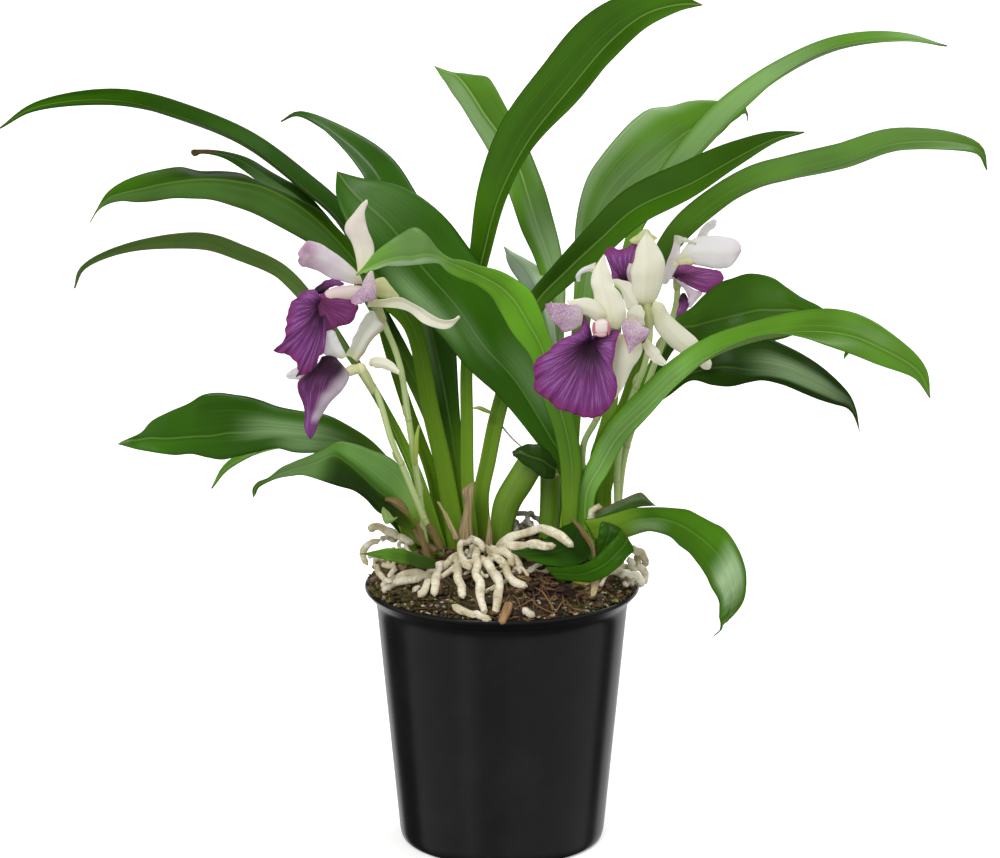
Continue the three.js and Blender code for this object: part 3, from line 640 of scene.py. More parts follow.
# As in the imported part. The midrib runs from the crown to the tip. petiole is the width of the leaf's stalk,
# which opens at the fraction start to the blade's full width at the fraction peak. turn is the blade's angle
# about its midrib from facing the front, and fold lifts both halves, in degrees. tip is 0 for a pointed tip.
LEAVES = {
    "left_longest": dict(
        midrib=[(-26, 3, 134), (-31, 6, 162), (-42, 12, 192), (-51, 20, 219), (-60, 32, 249),
            (-72, 42, 270), (-89, 50, 284), (-114, 60, 301), (-141, 68, 311), (-173, 75, 318),
            (-209, 80, 314), (-226, 84, 304)],
        width=28, petiole=6.7, start=0.2, peak=0.64, turn=(20, 60, 85, 85, 60), fold=(28, 22, 15),
    ),
    "left_drooping": dict(
        midrib=[(-27, -7, 133), (-39, -9, 170), (-53, -8, 199), (-65, -4, 218), (-80, 0, 237),
            (-96, 6, 252), (-114, 12, 259), (-132, 18, 264), (-162, 24, 261), (-184, 28, 251),
            (-188, 30, 242)],
        width=24, petiole=6.7, start=0.25, peak=0.6, turn=(10, 70, 120, 120, 120), fold=(28, 15, 10),
    ),
    "left_upper": dict(
        midrib=[(-17, 2, 136), (-20, 10, 167), (-24, 14, 192), (-30, 22, 220), (-38, 34, 252),
            (-48, 44, 273), (-57, 56, 290), (-74, 66, 304), (-91, 74, 312), (-99, 80, 308)],
        width=30, petiole=7.8, start=0.12, peak=0.59, turn=(0, 0, 30, 55, 90), fold=(28, 30, 20),
    ),
    "centre_broad": dict(
        midrib=[(28, -4, 136), (29, -6, 168), (20, -7, 185), (5, -9, 210), (-8, -11, 225), (-20, -12, 243),
            (-34, -11, 259), (-49, -8, 278), (-64, -4, 291), (-71, 2, 299)],
        width=44, petiole=9, start=0.08, peak=0.74, turn=(0, 10, 40, 35, 15), fold=(40, 22, 15),
    ),
    "centre_tallest": dict(
        midrib=[(-13, -5, 136), (-15, 4, 162), (-15, 8, 188), (-15, 11, 209), (-13, 14, 235), (-7, 14, 263),
            (-1, 10, 286), (11, 4, 311), (30, -6, 337), (46, -18, 358), (60, -30, 371), (73, -38, 376),
            (83, -44, 377)],
        width=37, petiole=6.7, start=0.27, peak=0.75, turn=(0, -20, -50, -55, -45), fold=(28, 36, 36, 20),
    ),
    "right_rising": dict(
        midrib=[(-8, 2, 137), (-9, 1, 156), (-6, 2, 171), (-2, 4, 190), (5, 6, 214), (15, 4, 241),
            (26, 0, 254), (42, -8, 271), (57, -16, 286), (81, -26, 299), (99, -34, 311), (114, -41, 320),
            (126, -46, 324)],
        width=22, petiole=7.8, start=0.3, peak=0.8, turn=(0, -15, -10, -50, -75), fold=(28, 25, 20),
    ),
    "right_highest": dict(
        midrib=[(39, 10, 132), (42, 24, 166), (48, 30, 188), (50, 38, 215), (53, 46, 240), (60, 52, 263),
            (73, 58, 282), (89, 64, 299), (105, 70, 315), (125, 76, 330), (150, 82, 341), (180, 88, 344),
            (200, 94, 340)],
        width=30, petiole=6.7, start=0.36, peak=0.68, turn=(0, 0, -60, -75, -85, -75), fold=(28, 25, 15),
    ),
    "right_long": dict(
        midrib=[(45, 5, 130), (42, 16, 171), (54, 20, 191), (62, 25, 218), (66, 29, 242), (78, 33, 263),
            (95, 36, 277), (112, 39, 286), (129, 42, 290), (150, 45, 295), (175, 49, 303), (210, 53, 300),
            (215, 57, 290)],
        width=33, petiole=6.7, start=0.3, peak=0.65, turn=(0, 0, -60, -80, -80, -40), fold=(28, 25, 15),
    ),
    "right_arching": dict(
        midrib=[(37, -12, 132), (37, -16, 161), (43, -22, 175), (50, -28, 189), (63, -35, 204),
            (76, -43, 219), (92, -52, 232), (117, -60, 241), (143, -67, 242), (158, -72, 237),
            (173, -75, 228), (178, -76, 217)],
        width=26, petiole=9, start=0, peak=0.69, turn=(-10, -30, -55, -75, -95, -35, -20), fold=(28, 28, 15),
    ),
    "left_small": dict(
        midrib=[(-38, -8, 129), (-49, -10, 157), (-69, -14, 175), (-89, -18, 183), (-108, -22, 180),
            (-119, -26, 174), (-125, -28, 166)],
        width=16, petiole=5.6, start=0.25, peak=0.62, turn=(0, 60, 105, 60), fold=(28, 20, 10),
    ),
    "cut_left": dict(
        midrib=[(-37, 0, 131), (-43, -5, 144), (-51, -11, 152)],
        width=11, petiole=7, start=0, peak=0.5, tip=0.7, turn=(30, 50), fold=(20, 10),
    ),
}
# Leaves outlined on the photograph. A row holds the pixels of the left edge, the midrib and the right edge,
# the midrib's depth, and how much further back the two edges lie. hidden holds places of the midrib below
# the first row, in millimetres, each with half the blade's width there.
OUTLINED = {
    "centre_turned": dict(
        rows=[
            (564, 540, 571, 540, 577, 540, -20, 1, 1), (562, 515, 570, 515, 577, 515, -20, 1, 1),
            (561, 490, 571, 490, 580, 490, -20, 0, 0), (560, 466, 572, 465, 582, 465, -21, -1, -1),
            (554, 433, 566, 431, 577, 430, -23, -1, -1), (539, 390, 552, 385, 564, 380, -27, -2, -2),
            (530, 357, 541, 346.9, 550, 338, -32, -3, -2), (513, 334, 528, 323, 541, 311.9, -36, -4, -2),
            (500, 311, 515, 302, 530, 291, -40, -4, -1), (490, 295, 501, 288, 515, 279, -44, -4, 1),
            (475, 284.9, 485, 278, 498, 270.9, -49, -3, 2), (459, 279, 468, 270, 480, 265, -54, -3, 3),
            (447, 272, 455, 265, 463, 260, -58, -2, 3), (439, 264, 446, 261, 451, 258, -62, -1, 3),
            (430, 264, 436, 256, 439, 249.9, -65, 0, 5), (419, 265, 424, 255, 427, 234, -69, 1, 8),
            (408, 266, 411, 257, 415, 227, -72, 2, 10), (397, 266, 399, 258, 401, 233, -75, 2, 9),
            (387, 266, 388, 260, 388, 242, -78, 1, 6), (376, 269.9, 377, 265, 375, 253, -80, 0, 3),
            (367, 272, 366, 270, 365, 265, -82, 0, 1), (356, 276, 356, 275.4, 356, 275, -84, 0, 0),
        ],
    ),
    "left_thin": dict(
        hidden=[(-21, 10, 135, 2.5), (-26, 16, 168, 2.7), (-38, 28, 200, 4)],
        rows=[
            (325, 240, 333, 238, 342, 236, 38, -1, 2), (303, 218.9, 312, 212.9, 320, 208, 46, -1, 3),
            (284, 203, 294, 195, 303, 188, 52, -1, 4), (267, 190, 276, 183.9, 284, 179, 60, -2, 4),
            (251, 176, 260, 173, 268, 170, 67, -2, 4), (237, 165, 243, 162.9, 252, 160, 74, -2, 3),
            (225, 158, 230, 157, 240, 155, 80, -1, 2), (212, 155.5, 215, 154, 225, 151, 86, -1, 1),
            (201, 154, 203, 152, 210, 150, 90, 0, 1), (196, 156.9, 196, 153, 198, 149, 93, 0, 1),
            (194, 156, 192, 152, 193, 149.5, 94, 0, 0), (192, 153.5, 191, 152, 191, 151.5, 95, 0, 0),
        ],
    ),
    "left_broad_low": dict(
        rows=[
            (427, 552, 434, 550, 440, 548, -13, 0, 0), (409, 521, 417, 518, 424, 515, -15, 0, 0),
            (390, 492, 398, 488.9, 406, 485, -18, 0, 1), (374, 470, 381, 466, 390, 460, -21, 0, 2),
            (352, 456, 360, 450, 371, 440, -25, -1, 3), (330, 450, 338, 440, 350, 426, -30, -2, 5),
            (312, 453, 317, 436, 326, 415, -35, -2, 6), (294, 452, 296, 434, 300, 411, -39, -3, 8),
            (276, 448.9, 277, 432, 278, 406, -42, -3, 9), (255, 452, 260, 432, 262, 400, -46, -4, 10),
            (238, 456, 243, 433, 248, 396, -50, -5, 10), (222, 460, 228, 433.9, 233, 395, -53, -6, 10),
            (208, 457, 212, 436, 218, 393, -56, -5, 10), (192, 454, 197, 437, 203, 395, -59, -4, 9),
            (176, 455, 182, 438, 188, 403, -61, -4, 8), (162, 454, 166, 438.5, 170, 411.9, -63, -4, 6),
            (148, 452, 150, 438.9, 152, 421, -64, -3, 4), (136, 449.5, 138, 440, 141, 432, -65, -2, 2),
            (128, 447.5, 129, 441, 131, 438, -66, -1, 1), (117, 444.5, 117, 444, 117, 444, -66, 0, 0),
        ],
    ),
    "left_hooked": dict(
        rows=[
            (411, 537, 420, 532, 428, 528, -20, -1, 0), (392, 520, 404, 512, 416, 500, -27, -2, 2),
            (378, 512, 388, 499.9, 402, 470, -33, -3, 8), (366, 500, 373, 488, 388, 456.9, -38, -3, 9),
            (353, 491, 360, 475, 370, 449, -43, -4, 9), (340, 487, 347, 463, 352, 443, -47, -5, 7),
            (326, 482, 333, 456, 337, 442, -50, -6, 5), (314, 478, 320, 462, 322, 450, -52, -5, 3),
            (302, 475.5, 307, 466, 308, 456, -54, -4, 2), (290, 476.9, 293, 470, 293, 462, -57, -3, 2),
            (279, 478, 281, 474, 281, 468, -60, -1, 1), (268, 482, 268, 480, 269, 478, -62, 0, 0),
            (259, 488, 258, 485, 258, 482, -64, 0, 0), (256, 493, 254, 491, 253, 489, -65, 0, 0),
            (254, 497, 253.5, 497, 253, 497, -66, 0, 0),
        ],
    ),
    "right_shaded": dict(
        hidden=[(40, -1, 133, 2.5), (49, 8, 169, 2.5), (58, 10, 191, 3.2)],
        rows=[
            (674, 318, 678, 330, 684, 340, 11, 2, 0), (690, 309, 695, 326, 702, 345, 12, 3, -1),
            (703, 296, 711, 321.9, 718, 348, 12, 5, -2), (718, 283.9, 727, 318, 736, 348, 13, 6, -3),
            (732, 278, 742, 314, 752, 346, 13, 7, -3), (749, 274, 758, 310.9, 768, 342, 14, 7, -3),
            (772, 277, 778, 310, 785, 338, 14, 6, -2), (787, 287, 793, 310, 800, 333, 14, 4, -2),
            (802, 297, 808, 313, 815, 329.9, 15, 3, -1), (820, 307, 824, 318, 830, 332, 15, 2, -1),
            (834, 320, 838, 329, 843, 340, 15, 1, 0), (846, 336, 849, 342, 851, 348, 15, 0, 0),
            (850, 350, 848, 352, 845, 352.9, 15, 0, 0), (843, 359.5, 843, 360, 843, 360, 15, 0, 0),
        ],
    ),
    "right_low": dict(
        hidden=[(45, -7, 129, 3), (46, -6, 175, 3)],
        rows=[
            (640, 404.9, 636, 415, 630, 425, -8, 0, 0), (665, 378, 668, 388, 670, 395.9, -10, 1, 0),
            (684, 365, 688, 375, 692, 381, -12, 2, 0), (704, 355, 709, 369, 712, 385, -13, 4, -1),
            (722, 345, 728, 368, 731, 387, -15, 5, -2), (742, 338, 748, 370, 748, 383, -16, 7, -2),
            (761, 336, 766, 371, 763, 380, -16, 8, -2), (781, 343, 784, 374, 782, 385, -17, 7, -3),
            (801, 353, 803, 380, 802, 393, -18, 6, -3), (821, 366, 822, 388, 818, 399, -20, 4, -2),
            (838, 381, 836, 396, 834, 404, -22, 2, -1), (850, 395, 849, 403, 847, 408, -24, 1, 0),
            (856, 410, 855, 412.9, 853, 415, -25, 0, 0), (859.1, 431, 859.1, 431, 859, 432, -26, 0, 0),
        ],
    ),
    "back_narrow": dict(
        hidden=[(21, 18, 132, 3), (22, 27, 161, 3), (23, 31, 188, 3.6)],
        rows=[
            (552, 320, 558, 319.9, 564, 320, 35, -1, -1), (545, 290, 556, 288, 566, 287, 38, -2, -1),
            (534, 258, 547, 254, 561, 252, 42, -3, -2), (521, 230, 537, 226, 554, 222, 46, -3, -2),
            (511, 200, 528, 196, 546, 193, 50, -3, -2), (502, 176, 520, 171, 537, 168, 55, -2, -2),
            (493, 160, 510, 150, 525, 140, 62, -2, -2), (484, 144, 498, 132, 513, 120, 70, -2, -1),
            (472, 124, 484, 114, 502, 99, 79, -3, 2), (461, 106, 473, 97, 494, 85.9, 87, -3, 5),
            (452, 93.9, 464, 85, 486, 76, 94, -3, 6), (445, 83, 455, 76, 470, 74, 101, -2, 5),
            (439, 74, 445, 72, 453, 73, 108, -1, 2), (435, 66, 435, 66.5, 435, 67, 112, 0, 0),
        ],
    ),
    "back_broad": dict(
        hidden=[(31, 16, 131, 3), (31, 32, 168, 3)],
        rows=[
            (575, 262, 588, 265, 600, 268, 50, -1, 0), (575, 232, 594, 238, 614, 244, 62, -3, 1),
            (580, 199.9, 605, 212, 634, 221.9, 72, -5, 3), (589, 174, 617, 193, 655, 204, 82, -6, 4),
            (602, 154, 632, 178, 672, 186, 90, -6, 5), (618, 135, 650, 162, 688, 168, 98, -6, 5),
            (634, 119, 668, 147, 702, 152, 105, -5, 5), (649, 109, 685, 133.9, 714, 140, 111, -4, 4),
            (670, 106, 700, 124, 723, 131, 117, -3, 3), (690, 101.5, 715, 114.9, 731, 123.9, 122, -2, 2),
            (712, 100, 727, 110, 738, 118, 126, -1, 1), (730, 103, 738, 108, 743, 114, 128, 0, 1),
            (744, 106, 746, 110, 747, 114, 129, 0, 0), (748, 120.5, 748, 121, 748, 122, 129, 0, 0),
        ],
    ),
    "short_front": dict(
        rows=[
            (588, 533.9, 580, 528, 572, 523, -27, 1, 2), (590, 556, 574, 541, 561, 527, -30, -1, 1),
            (576, 565, 560, 551, 552, 534, -34, -2, 1), (556, 567, 546, 553, 541, 541, -38, -2, 1),
            (538, 563, 534, 554, 530, 546, -41, -1, 1), (526, 558, 524, 554, 521, 549, -43, 0, 0),
            (512, 553, 512, 552, 512, 551, -45, 0, 0),
        ],
    ),
    "cut_right_front": dict(
        rows=[
            (561, 567, 567, 574, 574, 581, -54, 0, 0), (572, 566, 580, 575, 590, 582, -53, 0, -1),
            (586, 563, 595, 570, 606, 576, -51, 1, -1), (597, 556, 608, 563, 619, 567, -48, 1, -1),
            (606, 546, 617, 553.9, 627, 557.9, -46, 1, -1), (615, 537, 625, 544, 634, 550, -44, 1, 0),
            (620, 530, 627, 538, 633.5, 548, -43, 0, 0), (622, 529, 627.5, 537, 632.5, 546, -43, 0, 0),
        ],
    ),
    "inner_right": dict(
        rows=[
            (596, 563, 600, 562, 604, 560, -40, 0, 0), (597, 550, 604, 549, 611, 548, -40, 0, 0),
            (598, 540, 607, 540, 617, 540, -40, 0, 0), (599, 531, 610, 532, 622, 534, -40, 0, 0),
            (600, 524, 610, 526, 621, 529, -39, 0, 0), (602, 521.5, 609, 523, 616, 526, -39, 0, 0),
        ],
    ),
    "back_silvery": dict(
        hidden=[(25, 9, 135, 2.4), (25, 15, 163, 2.4)],
        rows=[
            (541, 330, 548, 330, 555, 330, 24, 0, 0), (530, 300, 541, 298, 551, 296, 30, -1, 0),
            (519, 282, 533, 280, 546, 278, 36, -2, 1), (511, 270, 524, 266, 537, 265, 40, -2, 2),
            (507, 260, 516, 258, 526, 258, 43, -1, 2), (505, 252, 509, 252, 514, 253, 46, 0, 1),
            (503, 246, 503, 246, 503.5, 246.5, 48, 0, 0),
        ],
    ),
    "cut_collar": dict(
        rows=[
            (514, 451, 514, 453, 515, 456, -23, 0, 0), (520, 447, 521, 453, 522, 463, -24, 2, 0),
            (529, 444, 530, 456, 532, 470, -25, 4, 0), (540, 445, 541, 460, 541, 477, -24, 5, 0),
            (549, 453, 549, 465, 549, 479, -21, 4, 0), (556, 463, 555, 469.9, 554, 478, -18, 2, 0),
        ],
    ),
    "left_folded": dict(
        hidden=[(-19.5, -7, 135, 4.3), (-25.5, -2, 169, 4), (-31, 2, 193, 4.1)],
        rows=[
            (405, 330, 413, 326, 421, 322, 8, 0, 0), (380, 306, 391, 298, 400, 290, 12, 0, 0),
            (352, 280, 364, 272, 372, 262, 13, -1, 0), (330, 256, 340, 243, 345, 236, 11, -1, 1),
            (303, 240, 314, 217, 318, 210, 7, -2, 2), (275, 225, 288, 199, 290, 196, 1, -3, 3),
            (253, 214, 262, 187, 262, 184, -5, -3, 4), (232, 206, 241, 182, 243, 174, -11, -4, 5),
            (212, 200, 220, 180, 222, 170, -16, -4, 6), (192, 199, 199, 180, 200, 170, -21, -4, 6),
            (172, 199, 179, 182, 180, 167, -26, -4, 6), (153, 202, 160, 185, 160, 169.2, -31, -3, 6),
            (137, 203, 141, 189, 140, 174, -36, -3, 5), (122, 201.5, 124, 194, 121, 183.4, -40, -2, 3),
            (109, 204, 109, 198.5, 106, 194, -44, -1, 1), (100, 209.9, 98, 209, 97, 208, -47, 0, 0),
            (90, 223, 90, 222, 90, 222, -49, 0, 0),
        ],
    ),
    "right_hanging": dict(
        rows=[
            (597, 518, 603, 528, 609, 539, -28, 1, 0), (616, 513, 620, 526, 625, 538, -33, 2, 0),
            (631, 508.9, 635, 520.9, 640, 533, -38, 3, -1), (645, 507, 648, 519, 650, 531.5, -43, 4, -2),
            (660, 507.5, 661, 519, 663, 534, -49, 5, -2), (675, 508, 674, 523, 672, 538, -55, 5, -3),
            (688, 510, 684, 527, 680, 546, -60, 5, -3), (700, 515.9, 694, 533, 688, 552, -65, 5, -3),
            (712, 522, 704, 541, 696, 561, -70, 5, -3), (723, 528, 713, 549, 702, 570, -74, 5, -3),
            (732, 538, 720, 558, 708, 578.9, -79, 5, -3), (738, 549, 725, 568, 712, 588, -83, 4, -3),
            (743, 561, 730, 579, 716, 596, -86, 4, -2), (746, 574, 732, 589, 718.5, 604, -89, 3, -2),
            (747, 586, 733, 599, 719, 612, -91, 3, -1), (744, 599, 731, 609, 719.5, 619, -93, 2, -1),
            (738, 610, 729, 616, 720, 623, -94, 1, 0), (730, 617.9, 726, 620.9, 721, 626, -95, 1, 0),
            (723.5, 623, 722, 625.5, 720, 628, -95, 0, 0), (722, 629, 720, 630, 719, 630, -96, 0, 0),
            (714, 636, 713.8, 636, 713.5, 636, -96, 0, 0),
        ],
    ),
    "short_left": dict(
        rows=[
            (434, 569, 434, 564, 434, 558, -34, 0, 0), (421, 568, 422, 562, 422, 555, -38, -1, 1),
            (411, 566, 411, 559.9, 411, 551.8, -41, -1, 2), (397, 562, 397, 556, 397, 548.5, -45, -1, 2),
            (383, 559, 383, 554.5, 383, 549, -48, 0, 2), (372, 556, 372, 554, 372, 551, -51, 0, 1),
            (364, 554.8, 364, 554, 364, 553, -53, 0, 0), (359, 554, 359, 554, 359, 554, -54, 0, 0),
        ],
    ),
}
# The shade of each leaf, its brightness and how dull it is, how strongly its midrib shows, where an outlined
# blade opens and its dry tip starts, how far it is sunk, the solids it stands for, and its patches. A patch
# names what it changes and by how much, and gives its ends along the leaf and its ends across it, from -1 to
# 1.
# A leaf's brightness is partly painted light, raised for leaves that lie in shade. Patches that raise or lower
# the brightness are painted light and shade, where light falls on a part of a blade or shade lies on it. The
# greyish sheen patches are a painted sheen, and the pale patch on the turned leaf is a painted highlight
# where its lobe catches light.
USUAL_LOOKS = dict(dull=0.0, rib=0.3, opens=0.3, dry=0.985, sink=SINK, patches=[])
LEAF_LOOKS = {
    "left_longest": dict(look="deep", tint=0.95, dull=1, patches=[
        ("bright", 0.7, 0.84, 1, -0.7, 0.5),
    ]),
    "left_thin": dict(look="deep", tint=1.15, opens=0.25, dry=0.93, patches=[
        ("bright", -0.5, 0.38, 0.75, 0.1, 2), ("bloom", 0.4, 0.4, 0.8, -2, 0),
    ]),
    "left_folded": dict(look="mid", tint=1, dull=0.6, patches=[
        ("bright", 0.2, 0.9, 1.1, 0.1, 2), ("bright", -0.72, 0.55, 0.86, 0.15, 2),
        ("bright", 0.1, 0.3, 1.1, -2, -0.1), ("bloom", 0.15, 0.5, 1, -2, -0.1),
    ]),
    "left_drooping": dict(look="deep", tint=1.4),
    "left_upper": dict(look="deep", tint=1.2, patches=[
        ("bloom", 0.4, 0.3, 0.6, -0.9, -0.1),
    ]),
    "centre_broad": dict(look="deep", tint=1.55, patches=[
        ("bloom", 0.5, 0.56, 0.74, -0.85, -0.4), ("bloom", 0.25, 0.48, 0.6, -0.4, 0.1),
        ("bloom", 0.15, 0.84, 0.94, -0.6, 0.9), ("bloom", 0.25, 0.3, 0.45, 0.1, 0.9),
    ]),
    "centre_turned": dict(look="fresh", tint=1.3, opens=0.1, patches=[
        ("pale", 0.9, 0.8, 0.96, -2, -0.2), ("bloom", 0.35, 0.78, 0.94, 0, 2),
        ("bright", -0.35, 0.78, 0.94, 0, 2), ("bright", 0.4, 0.96, 1.2, -2, 2),
        ("bright", 0.3, 0.35, 0.7, -2, 2), ("bright", -0.25, -0.2, 0.3, -2, 2),
    ]),
    "centre_tallest": dict(look="mid", tint=1.2, rib=0.5),
    "back_narrow": dict(look="fresh", tint=1, rib=0.6, patches=[
        ("bloom", 0.65, 0.68, 0.96, -2, -0.15), ("bloom", 0.9, 0.15, 0.6, -0.5, 0.9),
        ("bright", 0.2, 0.15, 0.6, -2, 2),
    ]),
    "right_rising": dict(look="mid", tint=1, rib=0.5, patches=[
        ("bright", -0.3, 0.4, 1, -2, -0.05),
    ]),
    "back_broad": dict(look="fresh", tint=1.08, dry=0.97, patches=[
        ("bloom", 0.9, 0.45, 0.9, -1.2, -0.75), ("bloom", 0.4, 0.4, 0.8, -0.5, 2),
    ]),
    "right_highest": dict(look="fresh", tint=1.15, patches=[
        ("bloom", 0.6, 0.5, 0.8, -0.8, 0.3), ("bright", 0.25, 0.3, 0.5, -2, 2),
    ]),
    "right_long": dict(look="fresh", tint=0.85, dull=0.5, patches=[
        ("bloom", 0.2, 0.6, 0.95, -2, 2), ("bright", -0.35, 0.25, 0.5, -2, 2),
    ]),
    "right_shaded": dict(look="mid", tint=1.15, patches=[
        ("bright", 0.35, 0.38, 0.62, -2, 0.1), ("bright", -0.5, 0.3, 0.55, 0.1, 2),
    ]),
    "right_arching": dict(look="fresh", tint=1.05, patches=[
        ("bloom", 0.35, 0.12, 0.5, -0.7, 0.9), ("bright", 0.75, -0.1, 0.5, -2, 2),
    ]),
    "right_low": dict(look="shade", tint=1, dull=0.55, patches=[
        ("bloom", 1.1, 0.72, 0.9, -0.5, 0.45), ("bright", 0.6, 0.3, 0.6, 0.25, 2),
    ]),
    "right_hanging": dict(look="mid", tint=1.1, rib=0.15, opens=0.12, patches=[
        ("bloom", 1.15, 0.68, 0.82, -0.75, 0.7), ("bloom", 0.5, 0.14, 0.32, 0.1, 0.9),
        ("bright", 0.25, 0.3, 0.7, -0.9, 0.2),
    ]),
    "inner_right": dict(look="deep", tint=1.1, rib=0.1, opens=0, sink=SHORT_SINK, stands_for=[]),
    "cut_right_front": dict(look="deep", tint=1.15, dull=0.7, rib=0.15, opens=0, dry=0.985, patches=[
        ("bright", 0.25, 0.35, 1.1, -2, 2),
    ]),
    "short_front": dict(look="deep", tint=1.15, rib=0.1, opens=0, sink=SHORT_SINK, patches=[
        ("bright", 0.35, 0.5, 0.9, -2, -0.4), ("bright", -0.4, -0.1, 0.3, -2, 2),
    ]),
    "left_broad_low": dict(look="deep", tint=1.35, patches=[
        ("bloom", 0.6, 0.34, 0.56, -0.95, -0.15), ("bloom", 0.55, 0.42, 0.66, -0.3, 0.45),
        ("bright", -0.45, 0.15, 0.42, 0.1, 2), ("bright", 0.3, 0.85, 1.2, -2, 0),
    ]),
    "left_small": dict(look="fresh", tint=1.9),
    "left_hooked": dict(look="mid", tint=1, opens=0.15, patches=[
        ("bloom", 0.35, 0.62, 0.88, -2, 0.9), ("bloom", 0.3, 0.1, 0.6, 0.2, 2),
        ("bright", 0.6, 0.05, 0.6, 0.15, 2), ("bright", -0.72, 0.05, 0.62, -2, -0.05),
    ]),
    "short_left": dict(look="fresh", tint=0.82, rib=0.05, opens=0, sink=SHORT_SINK, patches=[
        ("bright", 0.45, 0.6, 1, -2, 2), ("bright", -0.5, -0.1, 0.4, -2, 2),
    ]),
    "cut_left": dict(look="mid", tint=1.1),
    "back_silvery": dict(look="silver", tint=1.1, patches=[
        ("pale", 0.9, 0.6, 1.2, 0.1, 2), ("bright", -0.4, 0.3, 0.85, -2, 0),
    ]),
    "cut_collar": dict(look="shade", tint=1.1, opens=0, sink=SHORT_SINK),
}


def with_foot(line, direction, sink=SINK):
    """A line with a few more points before its first, which carry the leaf's base down into the plant."""
    down = np.linspace(-sink, -sink / SINK_ROWS, SINK_ROWS)[:, None]
    return np.vstack([line[0] + down * direction, line])


def held(values):
    """Values at a leaf's stations, with the first repeated for its foot."""
    return np.concatenate([np.repeat(values[:1], SINK_ROWS, 0), values])


def bent(s):
    """The distance from the midrib for a place across a blade, rounded off at the midrib."""
    return np.sqrt(s**2 + RIB_ROUNDING) - RIB_LIFT


def thickness(u, start, s):
    """How thick a blade is at each place: more at its stalk, and less at its edges."""
    along = BLADE_THICK + STALK_EXTRA * (1 - smooth((u - start) / 0.35))
    return along[:, None] * np.clip((1 - np.abs(s)) * 6, 0.25, 1)


def right_and_left(s, right, left):
    """Waves of a blade's two edges, dying away towards the midrib."""
    return right * np.clip(s, 0, 1) ** 2 + left * np.clip(-s, 0, 1) ** 2


def patch(u, s, window):
    """A soft-edged patch of a leaf, from 0 to 1. window is its ends along the leaf and its ends across."""
    low, high, left, right = window
    along = smooth((u - low) / 0.14 + 0.5) * smooth((high - u) / 0.14 + 0.5)
    return along * smooth((s - left) / 0.4 + 0.5) * smooth((right - s) / 0.4 + 0.5)


def leaf_piece(name, looks, top, low, u, along, half, start, dry):
    """A leaf between two surfaces, with the values its skin reads. If it opens at once it has no stalk."""
    rows, columns = top.shape[:2]
    s = np.linspace(-1, 1, columns)[None, :]
    paint = {"bright": np.full((rows, columns), looks["tint"]), "bloom": np.zeros(1), "pale": np.zeros(1)}
    # Patches of painted light and shade, painted sheen and pale paint, laid over the leaf's brightness
    for kind, amount, *window in looks["patches"]:
        here = patch(u[:, None], s, window) * amount
        paint[kind] = paint[kind] * (1 + here) if kind == "bright" else np.maximum(paint[kind], here)
    stalk = (1 - smooth((u - start * 0.35) / (start * 0.9 + 0.12))) * (start > 0)
    values = {"stalk": stalk[:, None], "dry": dry[:, None], "rib": looks["rib"], "tint": paint.pop("bright")}
    values.update(paint)
    extra = {key: np.tile(np.broadcast_to(v, (rows, columns)).ravel(), 2) for key, v in values.items()}
    shape = Shape()
    blade_part(shape, top, low, along, half, extra)
    shape.piece("blade_leaf_" + name, leaf_skin(looks["look"], looks["dull"]), "leaf", looks["stands_for"])


def ribbed_leaf(name, leaf, looks, seed):
    """A blade along its midrib, with both halves lifted by the fold and waved at the edges."""
    length = run(np.array(leaf["midrib"], float))[-1]
    rows = int(np.clip(length / STATION_GAP, 14, 100))
    start, peak, blunt = leaf["start"], leaf["peak"], leaf.get("tip", 0)
    rib, tangent, _ = evenly(leaf["midrib"], rows)
    u = np.linspace(0, 1, rows)
    side = turned(unit(np.cross(tangent, FRONT)), tangent, listed(leaf["turn"], u, 0.07))
    wide = leaf["petiole"] + (leaf["width"] - leaf["petiole"]) * smooth((u - start) / (peak - start))
    gone = np.clip((u - peak) / (1 - peak), 0, 1)
    half = np.maximum(0.12, wide / 2 * (1 - (1 - blunt) * gone**1.9))
    fold = listed(leaf["fold"], u)
    rib = with_foot(rib, tangent[0])
    side, tangent, half, fold, u = (held(v) for v in (side, tangent, half, fold, u))
    normal = np.cross(side, tangent)

    own = np.random.default_rng(seed)
    waves, lean = own.uniform(2.5, 4.5), own.uniform(0, WAVE, 2)
    depth = 0.03 * leaf["width"] * own.uniform(0.6, 1.2)
    s = np.linspace(-1, 1, BLADE_COLUMNS if leaf["width"] > 14 else NARROW_COLUMNS)[None, :]
    width, angle = half[:, None], np.radians(fold)[:, None]
    along = np.linspace(0, 1, len(u))
    opened = (smooth((u - start) / 0.3) * half / half.max())[:, None]
    right, left = (np.sin(WAVE * waves * k * along[:, None] + a) for k, a in zip((1, 0.87), lean))
    lift = bent(s) * width * np.sin(angle) - 0.05 * width * s**4
    lift = lift + depth * opened * right_and_left(s, right, left)
    body = thickness(u, start, s)
    keel = KEEL * np.exp(-((s * width / KEEL_HALF_WIDTH) ** 2)) * np.minimum(1, width / 6)
    flat = rib[:, None] + side[:, None] * (s * width * np.cos(angle))[..., None]
    top, low = (flat + normal[:, None] * v[..., None] for v in (lift + body / 2, lift - body / 2 - keel))
    dry = smooth((u - 0.93) / 0.06) * 0.8 if blunt else smooth((u - 0.985) / 0.012) * own.uniform(0.3, 0.9)
    leaf_piece(name, looks, top, low, u, along, half, start, dry)


